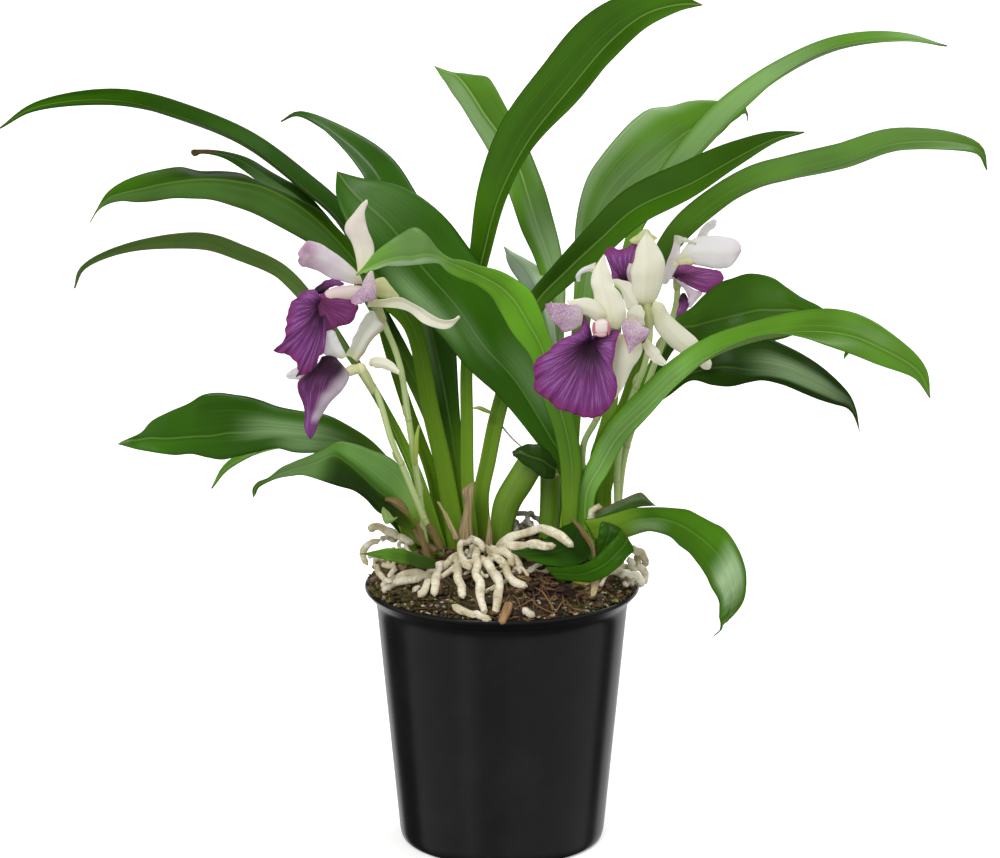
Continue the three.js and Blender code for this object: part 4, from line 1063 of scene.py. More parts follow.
def outlined_leaf(name, leaf, looks, seed):
    """A blade through its midrib and its two edges, its halves slightly arched and its edges waved."""
    hidden = np.array(leaf.get("hidden", []), float).reshape(-1, 4)
    table = np.array(leaf["rows"], float)
    px, depth, left_back, right_back = table[:, :6], table[:, 6], table[:, 7], table[:, 8]
    lines = []
    for k, (aside, nearer, behind) in enumerate(((-1, 0.5, left_back), (0, 0, 0), (1, 0.5, right_back))):
        seen = in_mm(px[:, 2 * k], px[:, 2 * k + 1], depth + behind, LEAF_READING)
        foot = hidden[:, :3] + hidden[:, 3:] * [aside, 0, 0] - [0, nearer, 0]
        lines.append(catmull(np.vstack([np.round(foot * LEAF_READING) / LEAF_READING, seen]), 7))
    left, rib, right = lines
    u = run(rib) / run(rib)[-1]
    start, sink = looks["opens"], looks["sink"]
    left, rib, right = (with_foot(line, unit(rib[1] - rib[0]), sink) for line in (left, rib, right))
    u = held(u)

    s = np.linspace(-1, 1, BLADE_COLUMNS)[None, :]
    half, keel = (right - left)[:, None] / 2, ((right + left) / 2 - rib)[:, None]
    grid = rib[:, None] + s[..., None] * half + bent(s[..., None]) / EDGE_RISE * keel
    normal = unit(np.cross(np.gradient(grid, axis=1), np.gradient(grid, axis=0)), 1e-6)
    size = np.linalg.norm(half[:, 0], axis=1)
    own = np.random.default_rng(seed)
    waves, lean = own.uniform(3, 5, 2), own.uniform(0, WAVE, 2)
    wave = [(np.sin(WAVE * w * u + a) * size / size.max())[:, None] for w, a in zip(waves, lean)]
    width = size[:, None]
    lift = width * 0.2 * np.abs(s) * (1 - np.abs(s)) + EDGE_WAVE * right_and_left(s, *wave)
    grid = grid + normal * lift[..., None]
    thick = np.minimum(thickness(u, start, s), 0.3 + width * 0.4)
    keel = OUTLINED_KEEL * np.exp(-((s * width / KEEL_HALF_WIDTH) ** 2)) * np.minimum(1, width / 3)
    under = thick / 2 + keel
    top, low = grid + normal * (thick / 2)[..., None], grid - normal * under[..., None]
    dry = smooth((u - looks["dry"]) / 0.02) * own.uniform(0.5, 0.9)
    leaf_piece(name, looks, top, low, u, u, size, start, dry)


for make, leaves, first_seed in ((ribbed_leaf, LEAVES, 0), (outlined_leaf, OUTLINED, OUTLINED_SEED)):
    for number, (name, leaf) in enumerate(leaves.items()):
        looks = {**USUAL_LOOKS, "stands_for": ["leaf_" + name], **LEAF_LOOKS[name]}
        make(name, leaf, looks, first_seed + number)


# Growths, flower stalks and roots

GROWTHS = {
    "cut_growth_centre": dict(
        path=[(-2, -7, 130), (-1, -8, 137), (2, -9, 154), (8, -10, 165), (13, -10, 173.5)],
        radius=(4.6, 5.0, 5.8, 6.1, 5.9), deep=0.62,
    ),
    "cut_growth_right": dict(
        path=[(19, 1, 129), (20, 1, 136), (21, 2, 153), (21, 2, 165.5)],
        radius=(4.2, 4.3, 4.4, 4.3), deep=0.64,
    ),
}
GROWTH_SIDES = 28
GROWTH_RIBS = 5
# For each flower its stalk, the fractions of it where a joint with a bract sits, the flower's heart, the
# skin, middle line and radius of its column, and the ovary behind the flower
FLOWERS = {
    "left_upper": dict(
        stalk=[(-31, -20, 126), (-32, -21, 131), (-36, -24, 165), (-40, -28, 196), (-44, -32, 223),
            (-50, -36, 240), (-55, -40, 252)],
        joints=(0.28, 0.55), heart=(-56, -41, 254), skin=COLUMN,
        column=[(-57, -42, 254), (-64, -45, 255.5), (-70, -47, 255.5), (-75, -49, 254.5)],
        radius=(3.4, 3.3, 2.9, 2.2),
        ovary=[(-50, -37, 241), (-53, -39, 248), (-56, -41, 253)],
    ),
    "left_lower": dict(
        stalk=[(-26, -13, 131), (-27, -14, 136), (-34, -29, 154), (-41, -36, 174), (-47, -40, 190),
            (-53, -42, 211), (-56, -42, 216)],
        joints=(0.3, 0.6), heart=(-60, -42, 222), skin=COLUMN_GREEN,
        column=[(-60, -42, 222), (-63, -44, 222), (-67, -47, 221)], radius=(2.0, 2.3, 1.8),
        ovary=[(-54, -42, 211), (-56.5, -42.5, 216.5), (-59.5, -42, 222)],
    ),
    "right_front": dict(
        stalk=[(30, -10, 129), (31, -11, 134), (35, -11, 158), (35, -18, 182), (40, -32, 197), (45, -44, 212),
            (42, -56, 233), (41, -61, 241)],
        joints=(0.3, 0.6), heart=(41, -62, 243), skin=COLUMN,
        column=[(41, -62, 243), (41.5, -65, 246), (41.5, -68, 246.5), (41.2, -70, 245.5)],
        radius=(2.6, 2.8, 2.6, 2.0),
        ovary=[(42, -57, 234), (41.5, -60, 238), (41, -62, 242)],
    ),
    "right_middle": dict(
        stalk=[(52, -3, 121), (52, -4, 126), (50, -15, 174), (55, -21, 202), (61, -25, 220), (63, -28, 234),
            (62, -28, 248)],
        joints=(0.35, 0.7), heart=(61, -28, 250), skin=COLUMN_GREEN,
        column=[(61, -28, 250), (59, -22, 253), (57, -18, 254)], radius=(3.0, 2.6, 2.2),
        ovary=[(62.5, -27.5, 233), (62.5, -28.5, 241), (61.5, -28.5, 249)],
    ),
    "right_back": dict(
        stalk=[(50, 2, 122), (50, 1, 127), (53, -1, 171), (61, 0, 199), (69, -4, 224), (75, -8, 243),
            (75, -10, 259)],
        joints=(0.4, 0.72), heart=(75, -10, 261), skin=COLUMN_GREEN,
        column=[(75, -10, 261), (79, -12, 263), (83, -14, 263)], radius=(3.0, 2.6, 2.2),
        ovary=[(75, -9, 249), (75.5, -10, 255), (75, -10.5, 261)],
    ),
}
STALK_RADIUS = (1.55, 1.45, 1.4, 1.35, 1.3)
# Thick roots, with a path for each branch. Each starts at the crown, apart from FREE_ROOTS.
ROOTS = {
    "root_left_forked": [
        [(-19.5, -20, 134), (-27.5, -27, 130), (-34, -30, 127), (-42.5, -27, 125), (-48.5, -23, 120.5),
            (-52, -20, 117.5)],
        [(-34, -29, 128), (-39.5, -26, 127.5), (-44, -24, 126.5), (-49.5, -20, 123), (-52.5, -17, 118.5)],
    ],
    "root_left_short": [[(-27, -27, 131), (-28.5, -32, 129), (-28.5, -38, 126), (-29, -43, 122)]],
    "root_front_left": [[(-19.5, -26, 133.5), (-19, -37, 130), (-16.5, -48, 122.5)]],
    "root_front_long": [[(-11, -24, 137.5), (-10.5, -35, 133.5), (-10.5, -44, 128.5), (-9, -51, 123),
        (-7, -56, 117.5)]],
    "root_front_right": [[(-8, -28, 134), (-3.5, -38, 131), (-1.5, -46, 127), (-2, -52, 122),
        (-3, -56, 117.5)]],
    "root_right_bent": [[(-6, -22, 137), (-1, -31, 134), (3.5, -39, 130), (6, -43, 128), (11, -45, 127)]],
    "root_right_short": [[(-0.5, -24, 138), (5, -31, 136.5), (7.5, -35, 134), (7.5, -39, 131)]],
    "root_arch_high": [[(-0.5, -20, 137.5), (6, -28, 145.5), (16, -37, 150), (23.5, -44, 150),
        (30.5, -47, 145)]],
    "root_arch_low": [[(0, -22, 138), (8.5, -34, 142.5), (16, -43, 145), (23, -46, 145.5)]],
    "root_left_edge": [[(-58, -4, 140.5), (-57, -5, 142.5), (-53, -7, 143), (-49, -10, 142),
        (-42.5, -15, 140.5), (-38, -18, 139)]],
    "root_right_edge": [[(55, -14, 135.5), (59, -14, 134.5), (62, -12, 131), (63, -10, 128),
        (62, -9, 125.5)]],
    "root_on_rim": [[(-21.5, -54, 121.5), (-13.5, -57, 119), (-4.5, -60, 116.5)]],
}
# Smaller roots that no solid stands for
SMALL_ROOTS = {
    "root_small_hook": [(43.5, -18, 155), (41, -19, 155.5), (39, -20, 154), (38.5, -20, 151),
        (38.5, -20, 147)],
    "root_small_left": [(-53, -8, 138), (-57.5, -8, 136.5), (-60.5, -8, 132.5), (-61, -9, 129.5),
        (-58.5, -11, 127)],
    "root_small_low": [(-30.5, -34, 127.5), (-32.5, -38, 125), (-36, -42, 121.5)],
    "root_small_front": [(-6, -24, 138), (2.5, -32, 137.5), (5, -36, 133.5)],
    "root_small_right": [(57.5, -13, 132), (60, -12, 128.5), (60.5, -12, 125)],
    "root_small_back": [(38.1, 0, 141.9), (41.5, -2, 150.2)],
    "root_crown_loop": [(-14.5, -22, 141), (-17.5, -27, 140.5), (-17.5, -33, 137.5), (-15.5, -38, 133)],
    "root_crown_knot": [(-16.5, -21, 139), (-12.5, -23, 142), (-9.5, -25, 141), (-8, -27, 137.5)],
    "root_chunk_white": [(8.5, -57, 119.5), (11, -58, 119), (14, -58.5, 117.5)],
    "root_clump_a": [(50, -22, 125.5), (54, -22, 126.5), (58, -20, 124.5), (60.5, -19, 121.5),
        (60, -18, 119)],
    "root_clump_b": [(57, -14, 127.5), (60.5, -13, 126), (62.5, -12, 122.5), (61, -12, 118.5)],
    "root_clump_c": [(55, -17, 132.5), (56, -17, 129), (58.5, -17, 125.5)],
}
ROOT_RADIUS = 1.95
SMALL_ROOT_RADIUS = 1.6
# Roots that take the paler skin, partly painted light
PALE_LIT_ROOTS = ("root_clump_a", "root_clump_b", "root_clump_c")
# Roots whose upper end lies free, where the others go on into the crown
FREE_ROOTS = ("root_left_edge", "root_right_edge", "root_on_rim")


def growth_piece(name, path, radius, deep):
    """A flattened, ribbed old growth whose leaves were cut off, with a dry rim at the cut."""
    shape = Shape()
    tube_part(shape, path, radius, GROWTH_SIDES, deep, 46, cap=0.12)
    verts, along = shape.verts[0], shape.values["along"][0]
    rings = verts[:-2].reshape(-1, GROWTH_SIDES, 3)
    centre = rings.mean(1, keepdims=True)
    wave = np.sin(np.arange(GROWTH_SIDES) / GROWTH_SIDES * WAVE * GROWTH_RIBS)
    ribs = 1 + 0.012 * np.sign(wave) * np.sqrt(np.abs(wave))
    verts[:-2] = (centre + (rings - centre) * ribs[:, None]).reshape(-1, 3)
    shape.values["dry"] = [smooth((along - 0.94) / 0.05)]
    shape.piece("growth_" + name, SKINS["stem"], "stem", [name])


def stalk_piece(flower, path, joints, seed):
    """A flower's stalk with a knob and a pointed bract at each joint."""
    shape = Shape()
    tube_part(shape, path, STALK_RADIUS, 14, lump=0.04, seed=seed, cap=0.3, dry=0.0)
    points, tangents, _ = evenly(path, 101)
    for number, u in enumerate(joints):
        p, t = points[int(u * 100)], tangents[int(u * 100)]
        tube_part(shape, [p - t * 1.6, p, p + t * 1.6], (1.3, 1.6, 1.3), 14, steps=9, cap=0.5, dry=0.35)
        side = turned(np.cross(t, FRONT)[None], t[None], np.array([60.0 + 140 * number]))[0]
        bract = [p + side * 0.6, p + side * 1.5 + t * 3, p + side * 1.5 + t * 7]
        tube_part(shape, bract, (1.2, 1.2, 0.4), 12, flat=0.35, steps=12, dry=0.5)
    shape.piece("stalk_" + flower, SKINS["stalk"], "stalk", ["flower_stalk_" + flower])


def root_piece(name, paths, seed):
    """A thick root: a bent and lumpy tube for each path, green where it starts and yellowish at its tip."""
    shape, own = Shape(), np.random.default_rng(seed)
    solid = name in ROOTS
    for k, path in enumerate(paths):
        if solid and name not in FREE_ROOTS:
            path = [path[0] + 5 * unit(np.subtract(path[0], path[1])) + [0, 0, -1.5]] + path
        points, _, _ = evenly(path, 9)
        points[1:-1] += own.normal(0, 0.45, (7, 3)) * [1, 0.6, 1]
        size = (ROOT_RADIUS if solid else SMALL_ROOT_RADIUS) * own.uniform(0.82, 1.08)
        radius = [size * own.uniform(0.88, 1.1) for _ in range(8)] + [size * 0.8]
        tube_part(shape, points, radius, 14, lump=0.12, seed=seed + k, cap=0.35, green=0.0, tip=0.0)
        along = shape.values["along"][-1]
        shape.values["green"][-1] = 0.8 * (1 - smooth(along / 0.22))
        shape.values["tip"][-1] = smooth((along - 0.97) / 0.03) * 0.4
    material = PALE_LIT_ROOT if name in PALE_LIT_ROOTS else ROOT
    shape.piece(name + "_skin" if solid else name, material, "root", [name] if solid else [])


for name, spec in GROWTHS.items():
    growth_piece(name, **spec)
for number, (name, spec) in enumerate(FLOWERS.items()):
    stalk_piece(name, spec["stalk"], spec["joints"], STALK_SEED + number)
for number, (name, paths) in enumerate(ROOTS.items()):
    root_piece(name, paths, ROOT_SEED + 3 * number)
for number, (name, path) in enumerate(SMALL_ROOTS.items()):
    root_piece(name, [path], SMALL_ROOT_SEED + number)


# Flowers

# Petals and parts of lips between two edges, outlined on the photograph. A row holds the pixels of the left
# edge and the right edge. depth is spread evenly along the rows, and the right edge lies tilt further back
# than the left. bulge is how far the middle is lifted, and lilac the blush along the petal. rim dries the
# right edge, greentip colours the tip, and paleright pales the lower right.
PETALS = {
    "upper_dorsal": dict(
        flower="left_upper", look="cream", bulge=2.0, depth=(-41, -36), tilt=-1,
        lilac=(0.0, 0.12, 0.3, 0.28, 0.1),
        rows=[
            (357.8, 272.7, 367.1, 272.7), (357, 263.8, 371.6, 263.8), (354.5, 251.4, 374, 251.4),
            (351, 241.5, 372.8, 241.5), (344.8, 230.8, 368, 229.9), (345.7, 223.8, 365.7, 221.9),
            (352.9, 214.8, 365, 213), (360, 205.9, 366.5, 205), (366.8, 200.3, 367.7, 200.3),
        ],
    ),
    "upper_left": dict(
        flower="left_upper", look="white", bulge=2.5, depth=(-42, -56), tilt=2,
        lilac=(0.05, 0.2, 0.5, 1.1, 1.3),
        rows=[
            (360, 275.5, 362.7, 284.4), (352.9, 267.9, 353, 283.5), (340.5, 256.8, 340.4, 281),
            (328.7, 249, 328.8, 277.2), (318.1, 242.7, 317.1, 270.5), (309, 241.2, 306.8, 267.4),
            (302, 245.7, 300.7, 266), (298, 253.5, 297.5, 260),
        ],
    ),
    "upper_speckled": dict(
        flower="left_upper", look="white", bulge=2.0, depth=(-44, -57), tilt=1,
        lilac=(0.3, 0.8, 0.9), speckle=0.8,
        rows=[
            (369.3, 271.4, 373.2, 271.3), (364.5, 279, 374.7, 280), (361, 287, 376.5, 289),
            (356.4, 292.9, 377, 296), (351.5, 297.9, 374.5, 300), (351.8, 302.9, 365.5, 301.7),
            (355.6, 305.4, 360, 304.4),
        ],
    ),
    "upper_behind": dict(
        flower="left_upper", look="green", bulge=0.8, depth=(-37, -35),
        rows=[
            (374.3, 279.9, 374.3, 296), (383.2, 277.3, 385, 298.4), (390.5, 285.3, 392.5, 297.8),
            (398.3, 295.2, 399.3, 297),
        ],
    ),
    "upper_ribbon": dict(
        flower="left_upper", look="cream", bulge=-1.2, depth=(-44, -50, -56, -60, -61), tilt=3,
        rows=[
            (367, 300.5, 367.5, 307), (383.2, 299.2, 383.2, 307.7), (399.3, 297.1, 397.5, 308.5),
            (410, 301.8, 407.5, 311.5), (419.8, 307, 415.7, 316.5), (429.7, 314.2, 423.5, 322.8),
            (438.5, 318.5, 432.3, 327.4), (446.5, 320.3, 443.9, 329.3), (453.8, 319.3, 453, 326),
            (459.8, 316.5, 460.5, 318.2),
        ],
    ),
    "lower_dorsal": dict(
        flower="left_lower", look="grey", bulge=-2.2, depth=(-44, -50), tilt=2, rim=1,
        rows=[
            (345.7, 355.8, 357.3, 362.1), (347.8, 351.4, 362.7, 356), (351.1, 344.2, 367.5, 346.9),
            (353.7, 337, 374.3, 338), (357.9, 329, 383, 330), (361.8, 321, 385.9, 325.5),
            (367, 313.4, 379.3, 318.3), (371.6, 311.2, 374.3, 311.7),
        ],
    ),
    "lower_left": dict(
        flower="left_lower", look="white", bulge=1.5, depth=(-44, -49),
        rows=[
            (340.5, 359, 346.5, 355.8), (331.4, 356.2, 343, 348.8), (323.9, 354, 337.7, 338),
            (321.6, 344.3, 334.1, 330.8), (322, 333.8, 328.8, 330.3),
        ],
    ),
    "lower_tip": dict(
        flower="left_lower", look="white", bulge=1.0, depth=(-46, -49),
        rows=[
            (304.5, 364, 304.5, 379.9), (293.9, 368.4, 296.5, 379.5), (287.7, 372.4, 288.6, 378.5),
            (286.3, 374.5, 286.4, 376.9),
        ],
    ),
    "lower_right": dict(
        flower="left_lower", look="cream", bulge=1.2, depth=(-42, -50), tilt=1,
        rows=[
            (370.7, 358.5, 370.7, 366.5), (376, 356.8, 376, 367.8), (383, 357, 383.2, 368.8),
            (390.4, 360.7, 390, 371), (396.6, 366.5, 395.5, 373.5), (399, 372, 399.5, 374.3),
        ],
    ),
    "front_dorsal": dict(
        flower="right_front", look="cream", bulge=2.4, depth=(-62, -63, -60),
        rows=[
            (603.5, 324, 618, 329.4), (600.4, 318, 625.5, 319.4), (596.5, 309.4, 625.9, 311.8),
            (594.5, 301, 624, 302.7), (593.2, 292, 620.3, 293.4), (590.7, 282.8, 613.7, 285.8),
            (591.7, 275, 611.6, 276.5), (595.8, 265.9, 607.5, 266.5), (600.5, 259, 605.5, 259),
            (603.5, 254.9, 604.2, 254.9),
        ],
    ),
    "front_left_band": dict(
        flower="right_front", look="cream", bulge=1.8, depth=(-63, -69), tilt=2,
        rows=[
            (607.2, 308, 607.2, 320.2), (595, 299.9, 597.3, 322), (585.8, 297.8, 588.9, 316.7),
            (576.5, 298.7, 582, 313.3), (566.7, 301, 572.1, 307.2),
        ],
    ),
    "front_left_speckled": dict(
        flower="right_front", look="white", bulge=1.2, depth=(-69, -72), tilt=1,
        lilac=(0.3, 0.9, 1.0), speckle=0.8,
        rows=[
            (582.5, 311.8, 581.5, 325.5), (579, 305.7, 573.5, 329.7), (570.5, 305, 563.6, 332),
            (564.4, 303.4, 559, 327.5), (554.5, 303, 552.5, 321.3), (545.4, 303.5, 546.5, 309.4),
        ],
    ),
    "front_right_speckled": dict(
        flower="right_front", look="white", bulge=1.5, depth=(-65, -69), tilt=1,
        lilac=(0.5, 0.9, 1.0), speckle=0.8,
        rows=[
            (625.5, 318, 635.5, 319), (621.8, 325.2, 642.5, 325.9), (623, 333.3, 650.1, 330.5),
            (625.3, 340.8, 645.2, 339), (627.2, 347, 636.3, 345.8), (628.5, 352.9, 629.5, 352.8),
        ],
    ),
    "front_broad": dict(
        flower="right_front", look="cream", bulge=2.5, depth=(-60, -57), tilt=1,
        rows=[
            (617.9, 332.5, 639.5, 336.3), (615.5, 342.4, 642.5, 348.5), (613.5, 357.8, 637.5, 360.7),
            (613, 367, 633.2, 367.5), (615.2, 377.7, 627.5, 377.5), (616, 386.7, 622.5, 387.5),
            (613.7, 398.3, 615.2, 399),
        ],
    ),
    "front_knobby": dict(
        flower="right_front", look="cream", bulge=1.0, depth=(-59, -57),
        rows=[
            (641.7, 344.2, 647, 338.5), (645.2, 351.9, 653.2, 344.2), (650.1, 359, 659.5, 350.9),
            (656.5, 364.3, 661.5, 355.5), (663, 365.7, 666.5, 362),
        ],
    ),
    "middle_dorsal": dict(
        flower="right_middle", look="cream", bulge=3.0, depth=(-28, -32, -30), greentip=1,
        rows=[
            (640.2, 305, 650.9, 302.7), (634, 300.4, 656.3, 298.7), (632, 292, 660.5, 289.6),
            (631.5, 281, 663.5, 278.8), (630.5, 272, 665.4, 267.4), (634, 260.5, 663.5, 257.5),
            (636.3, 249, 658.5, 247.5), (640, 240.7, 653.5, 239.8), (644.8, 234.5, 649.3, 234.5),
            (646.5, 229.4, 647.1, 229.4),
        ],
    ),
    "middle_band": dict(
        flower="right_middle", look="cream", bulge=2.5, depth=(-29, -26, -22, -22),
        rows=[
            (650, 309.5, 652.9, 300.4), (651.9, 317.9, 662.4, 303.4), (655.5, 328.5, 668.5, 313.2),
            (661.5, 337, 677, 321.7), (670.8, 346.9, 686.8, 330.2), (679.2, 351.9, 696.8, 339),
            (690, 357.7, 702.9, 350), (697.5, 363.8, 709, 357.7), (703.5, 369.2, 711.5, 362.5),
            (708.3, 369.7, 710.8, 367.2),
        ],
    ),
    "middle_lower": dict(
        flower="right_middle", look="cream", bulge=1.5, depth=(-31, -33),
        rows=[
            (627.2, 311.7, 627.1, 317.9), (633.3, 306, 632.5, 321.7), (640.2, 305, 640.2, 326.4),
            (644.8, 311.8, 645.2, 325.5),
        ],
    ),
    "middle_left": dict(
        flower="right_middle", look="cream", bulge=1.0, depth=(-27, -31),
        rows=[
            (612.6, 279, 615, 284.9), (621, 279.5, 621.8, 292.7), (630.5, 283, 625.3, 305),
            (634.1, 291.9, 628, 310.3), (638.5, 303.4, 634, 310.3),
        ],
    ),
    "middle_curl": dict(
        flower="right_middle", look="white", bulge=0.8, depth=(-27, -24),
        rows=[
            (595.8, 262.2, 594.5, 273.9), (587.3, 265.6, 588.9, 271.5), (580.5, 269.7, 583.5, 273.1),
            (575.7, 275.4, 580.5, 276), (576.7, 281.2, 580.2, 281.2),
        ],
    ),
    "middle_pink": dict(
        flower="right_middle", look="white", bulge=0.8, depth=-27, lilac=(0.0, 1.0, 0.5),
        rows=[
            (629, 263.2, 635, 263.5), (626.8, 270.4, 633, 271.3), (627.1, 277.3, 633, 279),
            (630.5, 283, 633.3, 284.3),
        ],
    ),
    "back_broad": dict(
        flower="right_back", look="white", bulge=2.5, depth=(-12, -18), tilt=1,
        lilac=(0.0, 0.0, 0.05, 0.1, 0.6),
        rows=[
            (679.2, 255.2, 677.7, 264), (684.5, 247.5, 685.3, 263.9), (691.5, 239.9, 694.5, 264.7),
            (700.5, 236, 703.5, 266), (711.5, 235.5, 713.6, 268), (722, 236.2, 723.5, 268.7),
            (732, 238, 730.5, 266.2), (739.2, 242.7, 736.5, 259.5), (741.6, 246.3, 741, 251.3),
        ],
    ),
    "back_upper": dict(
        flower="right_back", look="white", bulge=1.0, depth=(-9, -4),
        rows=[
            (696.1, 238.4, 706, 238.4), (701, 229, 709, 231.9), (707, 222.7, 715.2, 226.8),
            (713.2, 219.5, 717, 221.2),
        ],
    ),
    "back_narrow": dict(
        flower="right_back", look="white", bulge=-1.0, depth=(-12, -13), lilac=(0.1, 0.3, 0.1),
        rows=[
            (674.3, 234.9, 679.2, 236.5), (673.5, 243, 680.4, 245.3), (670.7, 253, 679.5, 254.3),
            (666.9, 262, 677.5, 264.3), (664.7, 271.9, 673.8, 273.5), (662.8, 284.5, 667, 283.9),
        ],
    ),
    "back_curl": dict(
        flower="right_back", look="grey", bulge=0.6, depth=(-14, -16),
        rows=[
            (676.1, 235.3, 679.5, 244.5), (682.3, 236.7, 683, 242.9), (688.5, 239, 687.6, 242.5),
            (696.5, 242, 695.7, 244.7),
        ],
    ),
    "lip_left_upper_fold": dict(
        flower="left_upper", look="lip", bulge=1.0, depth=(-47, -44),
        rows=[
            (313.2, 290.2, 317.5, 295), (320.7, 283.5, 326.5, 292.5), (328.8, 279.3, 329.6, 287.9),
            (336.8, 279.5, 336, 286), (344, 283.2, 343, 285.3),
        ],
    ),
    "lip_left_lower_dome": dict(
        flower="left_lower", look="lip", bulge=5.0, depth=(-46, -52, -55, -54, -52), paleright=1,
        rows=[
            (321.5, 357, 336.8, 358.4), (317.5, 363.8, 345.4, 368.5), (306, 373.6, 349, 376.4),
            (298, 381.8, 345.7, 384.8), (298.4, 391.5, 340.4, 392.8), (301.8, 400.5, 331.8, 400.8),
            (304.3, 409.4, 324.7, 410.7), (305, 417.5, 319.3, 420.5), (304.2, 426.4, 316.8, 428.2),
            (307.1, 434.5, 313.9, 434.5), (309.6, 438.4, 311.4, 438.4),
        ],
    ),
    "lip_right_back_under": dict(
        flower="right_back", look="lippale", bulge=1.2, depth=(-12, -15),
        rows=[
            (671, 277, 674, 278.9), (677, 281.9, 684, 284), (684, 289, 694, 289.9), (688, 297, 702, 293),
            (688, 303, 697, 299.9), (689, 307.9, 691, 307),
        ],
    ),
    "lip_right_back_low": dict(
        flower="right_back", look="lip", bulge=1.0, depth=(-13, -15),
        rows=[
            (682, 293, 685, 293), (679, 299, 688, 299), (679, 304.9, 689, 306), (677, 310.9, 685, 312),
            (676, 317, 678, 315.9),
        ],
    ),
    "middle_top": dict(
        flower="right_middle", look="green", bulge=0.6, depth=-29,
        rows=[
            (629, 240, 631, 242.9), (637, 235, 640, 245), (646, 228.5, 649, 242.9), (652, 234, 653, 241),
            (657, 237, 657, 238.9),
        ],
    ),
}
# Lips that spread from a centre to a margin, as pixels with a depth. bulge is how far the lip is lifted
# between the two, frill how strongly its margin is waved, and magenta how much of that colour it takes.
LIP_FANS = {
    "lip_left_upper_limb": dict(
        flower="left_upper", centre=(321.5, 303.2, -47), bulge=4.0, frill=1.0,
        rows=[
            (314.5, 289.3, -50), (308.2, 289.8, -52), (302.5, 291.7, -54), (296.5, 297.8, -55),
            (290.7, 303.5, -56), (287.1, 314, -57), (286, 327.3, -58), (283.2, 340.7, -59), (278.2, 347, -60),
            (273, 350.4, -62), (279.6, 353.3, -60), (286.8, 354.2, -59), (293, 359.5, -58), (298, 367.4, -58),
            (297.2, 377, -59), (304.5, 373.9, -57), (311.8, 370.7, -55), (316.8, 364, -54),
            (318.2, 356.8, -54), (323.5, 352.3, -53), (323.9, 346, -52), (321.8, 339, -51), (321, 332.5, -50),
        ],
    ),
    "lip_left_upper_lobe": dict(
        flower="left_upper", centre=(316.8, 300, -49), bulge=2.5, frill=0.6, magenta=0.55,
        rows=[
            (320.5, 294.2, -48), (327.8, 292, -48), (338.5, 292.8, -47), (349, 295, -46), (353.2, 301.8, -46),
            (358.8, 305.8, -46), (355, 315.5, -46), (352, 322.3, -46), (338.6, 326.8, -47),
            (328.7, 330.5, -48), (320.9, 334.3, -50),
        ],
    ),
    "lip_right_front_disc": dict(
        flower="right_front", centre=(591.6, 340.9, -63), bulge=5.0, frill=1.1,
        rows=[
            (620.3, 330.5, -66), (618, 337, -67), (615.5, 344.8, -68), (614.5, 354.7, -69), (612, 367, -70),
            (615, 374.5, -71), (617.3, 386.8, -71), (614.9, 399, -71), (608.8, 408.5, -71),
            (602.7, 414.7, -71), (595, 417.7, -71), (585.8, 417.5, -71), (576.5, 415.3, -71),
            (567, 411.3, -71), (556.7, 408.9, -71), (549.1, 400.9, -71), (539.9, 394.8, -71),
            (533.8, 388.3, -71), (534.7, 379.2, -71), (533.4, 368.4, -71), (536.5, 359.5, -70),
            (547.5, 351.5, -70), (555, 343.9, -69), (564.5, 337.5, -69), (573.5, 334, -68),
            (581.2, 327.1, -68), (583.4, 315.2, -66),
        ],
    ),
    "lip_right_front_wing": dict(
        flower="right_front", centre=(593.5, 338.5, -64), bulge=1.5, frill=0.3,
        rows=[
            (591.9, 338.2, -66), (596.5, 334, -67), (607.2, 330.7, -67), (619.8, 330.7, -66),
            (617.4, 337.8, -67), (615.2, 348.5, -68), (611.8, 362.2, -69),
        ],
    ),
    "lip_right_front_auricle": dict(
        flower="right_front", centre=(592, 338.5, -64), bulge=1.0, frill=0.2,
        rows=[
            (572.8, 334.5, -68), (581, 327.5, -68), (583.4, 315.2, -67), (587.5, 320, -67), (590, 327.9, -67),
            (591.5, 336.3, -66),
        ],
    ),
    "lip_right_middle_back": dict(
        flower="right_middle", centre=(625.5, 284.9, -24), bulge=2.0, frill=0.5,
        rows=[
            (611.8, 279.4, -25), (610.6, 269, -25), (607.2, 259.8, -25), (605, 250.5, -25),
            (611.8, 247.2, -25), (618.7, 249.4, -25), (627, 247.2, -25), (633.6, 242.9, -25),
            (639, 242.9, -25), (637, 253.5, -25), (635.1, 261.3, -25), (632.5, 265.8, -25),
            (631.4, 273.5, -25), (632, 283.5, -25),
        ],
    ),
    "lip_right_back_upper": dict(
        flower="right_back", centre=(677, 275.9, -13), bulge=1.6, frill=0.3, magenta=0.3,
        rows=[
            (672, 277, -12), (676, 270, -12), (681, 263.5, -13), (688, 264.9, -14), (697, 267, -15),
            (710, 269, -16), (721, 272, -17), (723.5, 280, -18), (715, 286, -18), (706, 292.9, -17),
            (697, 289.9, -16), (686, 284.4, -15), (678, 278.9, -14),
        ],
    ),
}
# Steps per millimetre that the points of petals and scraps are snapped to
PETAL_READING = 10
PETAL_THICK = 0.55
PETAL_COLUMNS = 17
PETAL_RIB = 0.35
PETAL_WAVE = 0.22
LIP_THICK = 0.5
LIP_COLUMNS = 25
LIP_WAVE = 0.35
LIP_RINGS = 30
LIP_RAY = 0.07
# Lengths along a lip's margin between two points of its mesh, and between two waves of its frill
LIP_POINT_GAP = 0.7
FRILL_GAP = 6.5
THROAT_RADIUS = 1.3
HEART_RADIUS = 2.6
OVARY_RADIUS = (1.4, 1.9, 2.2, 1.9)


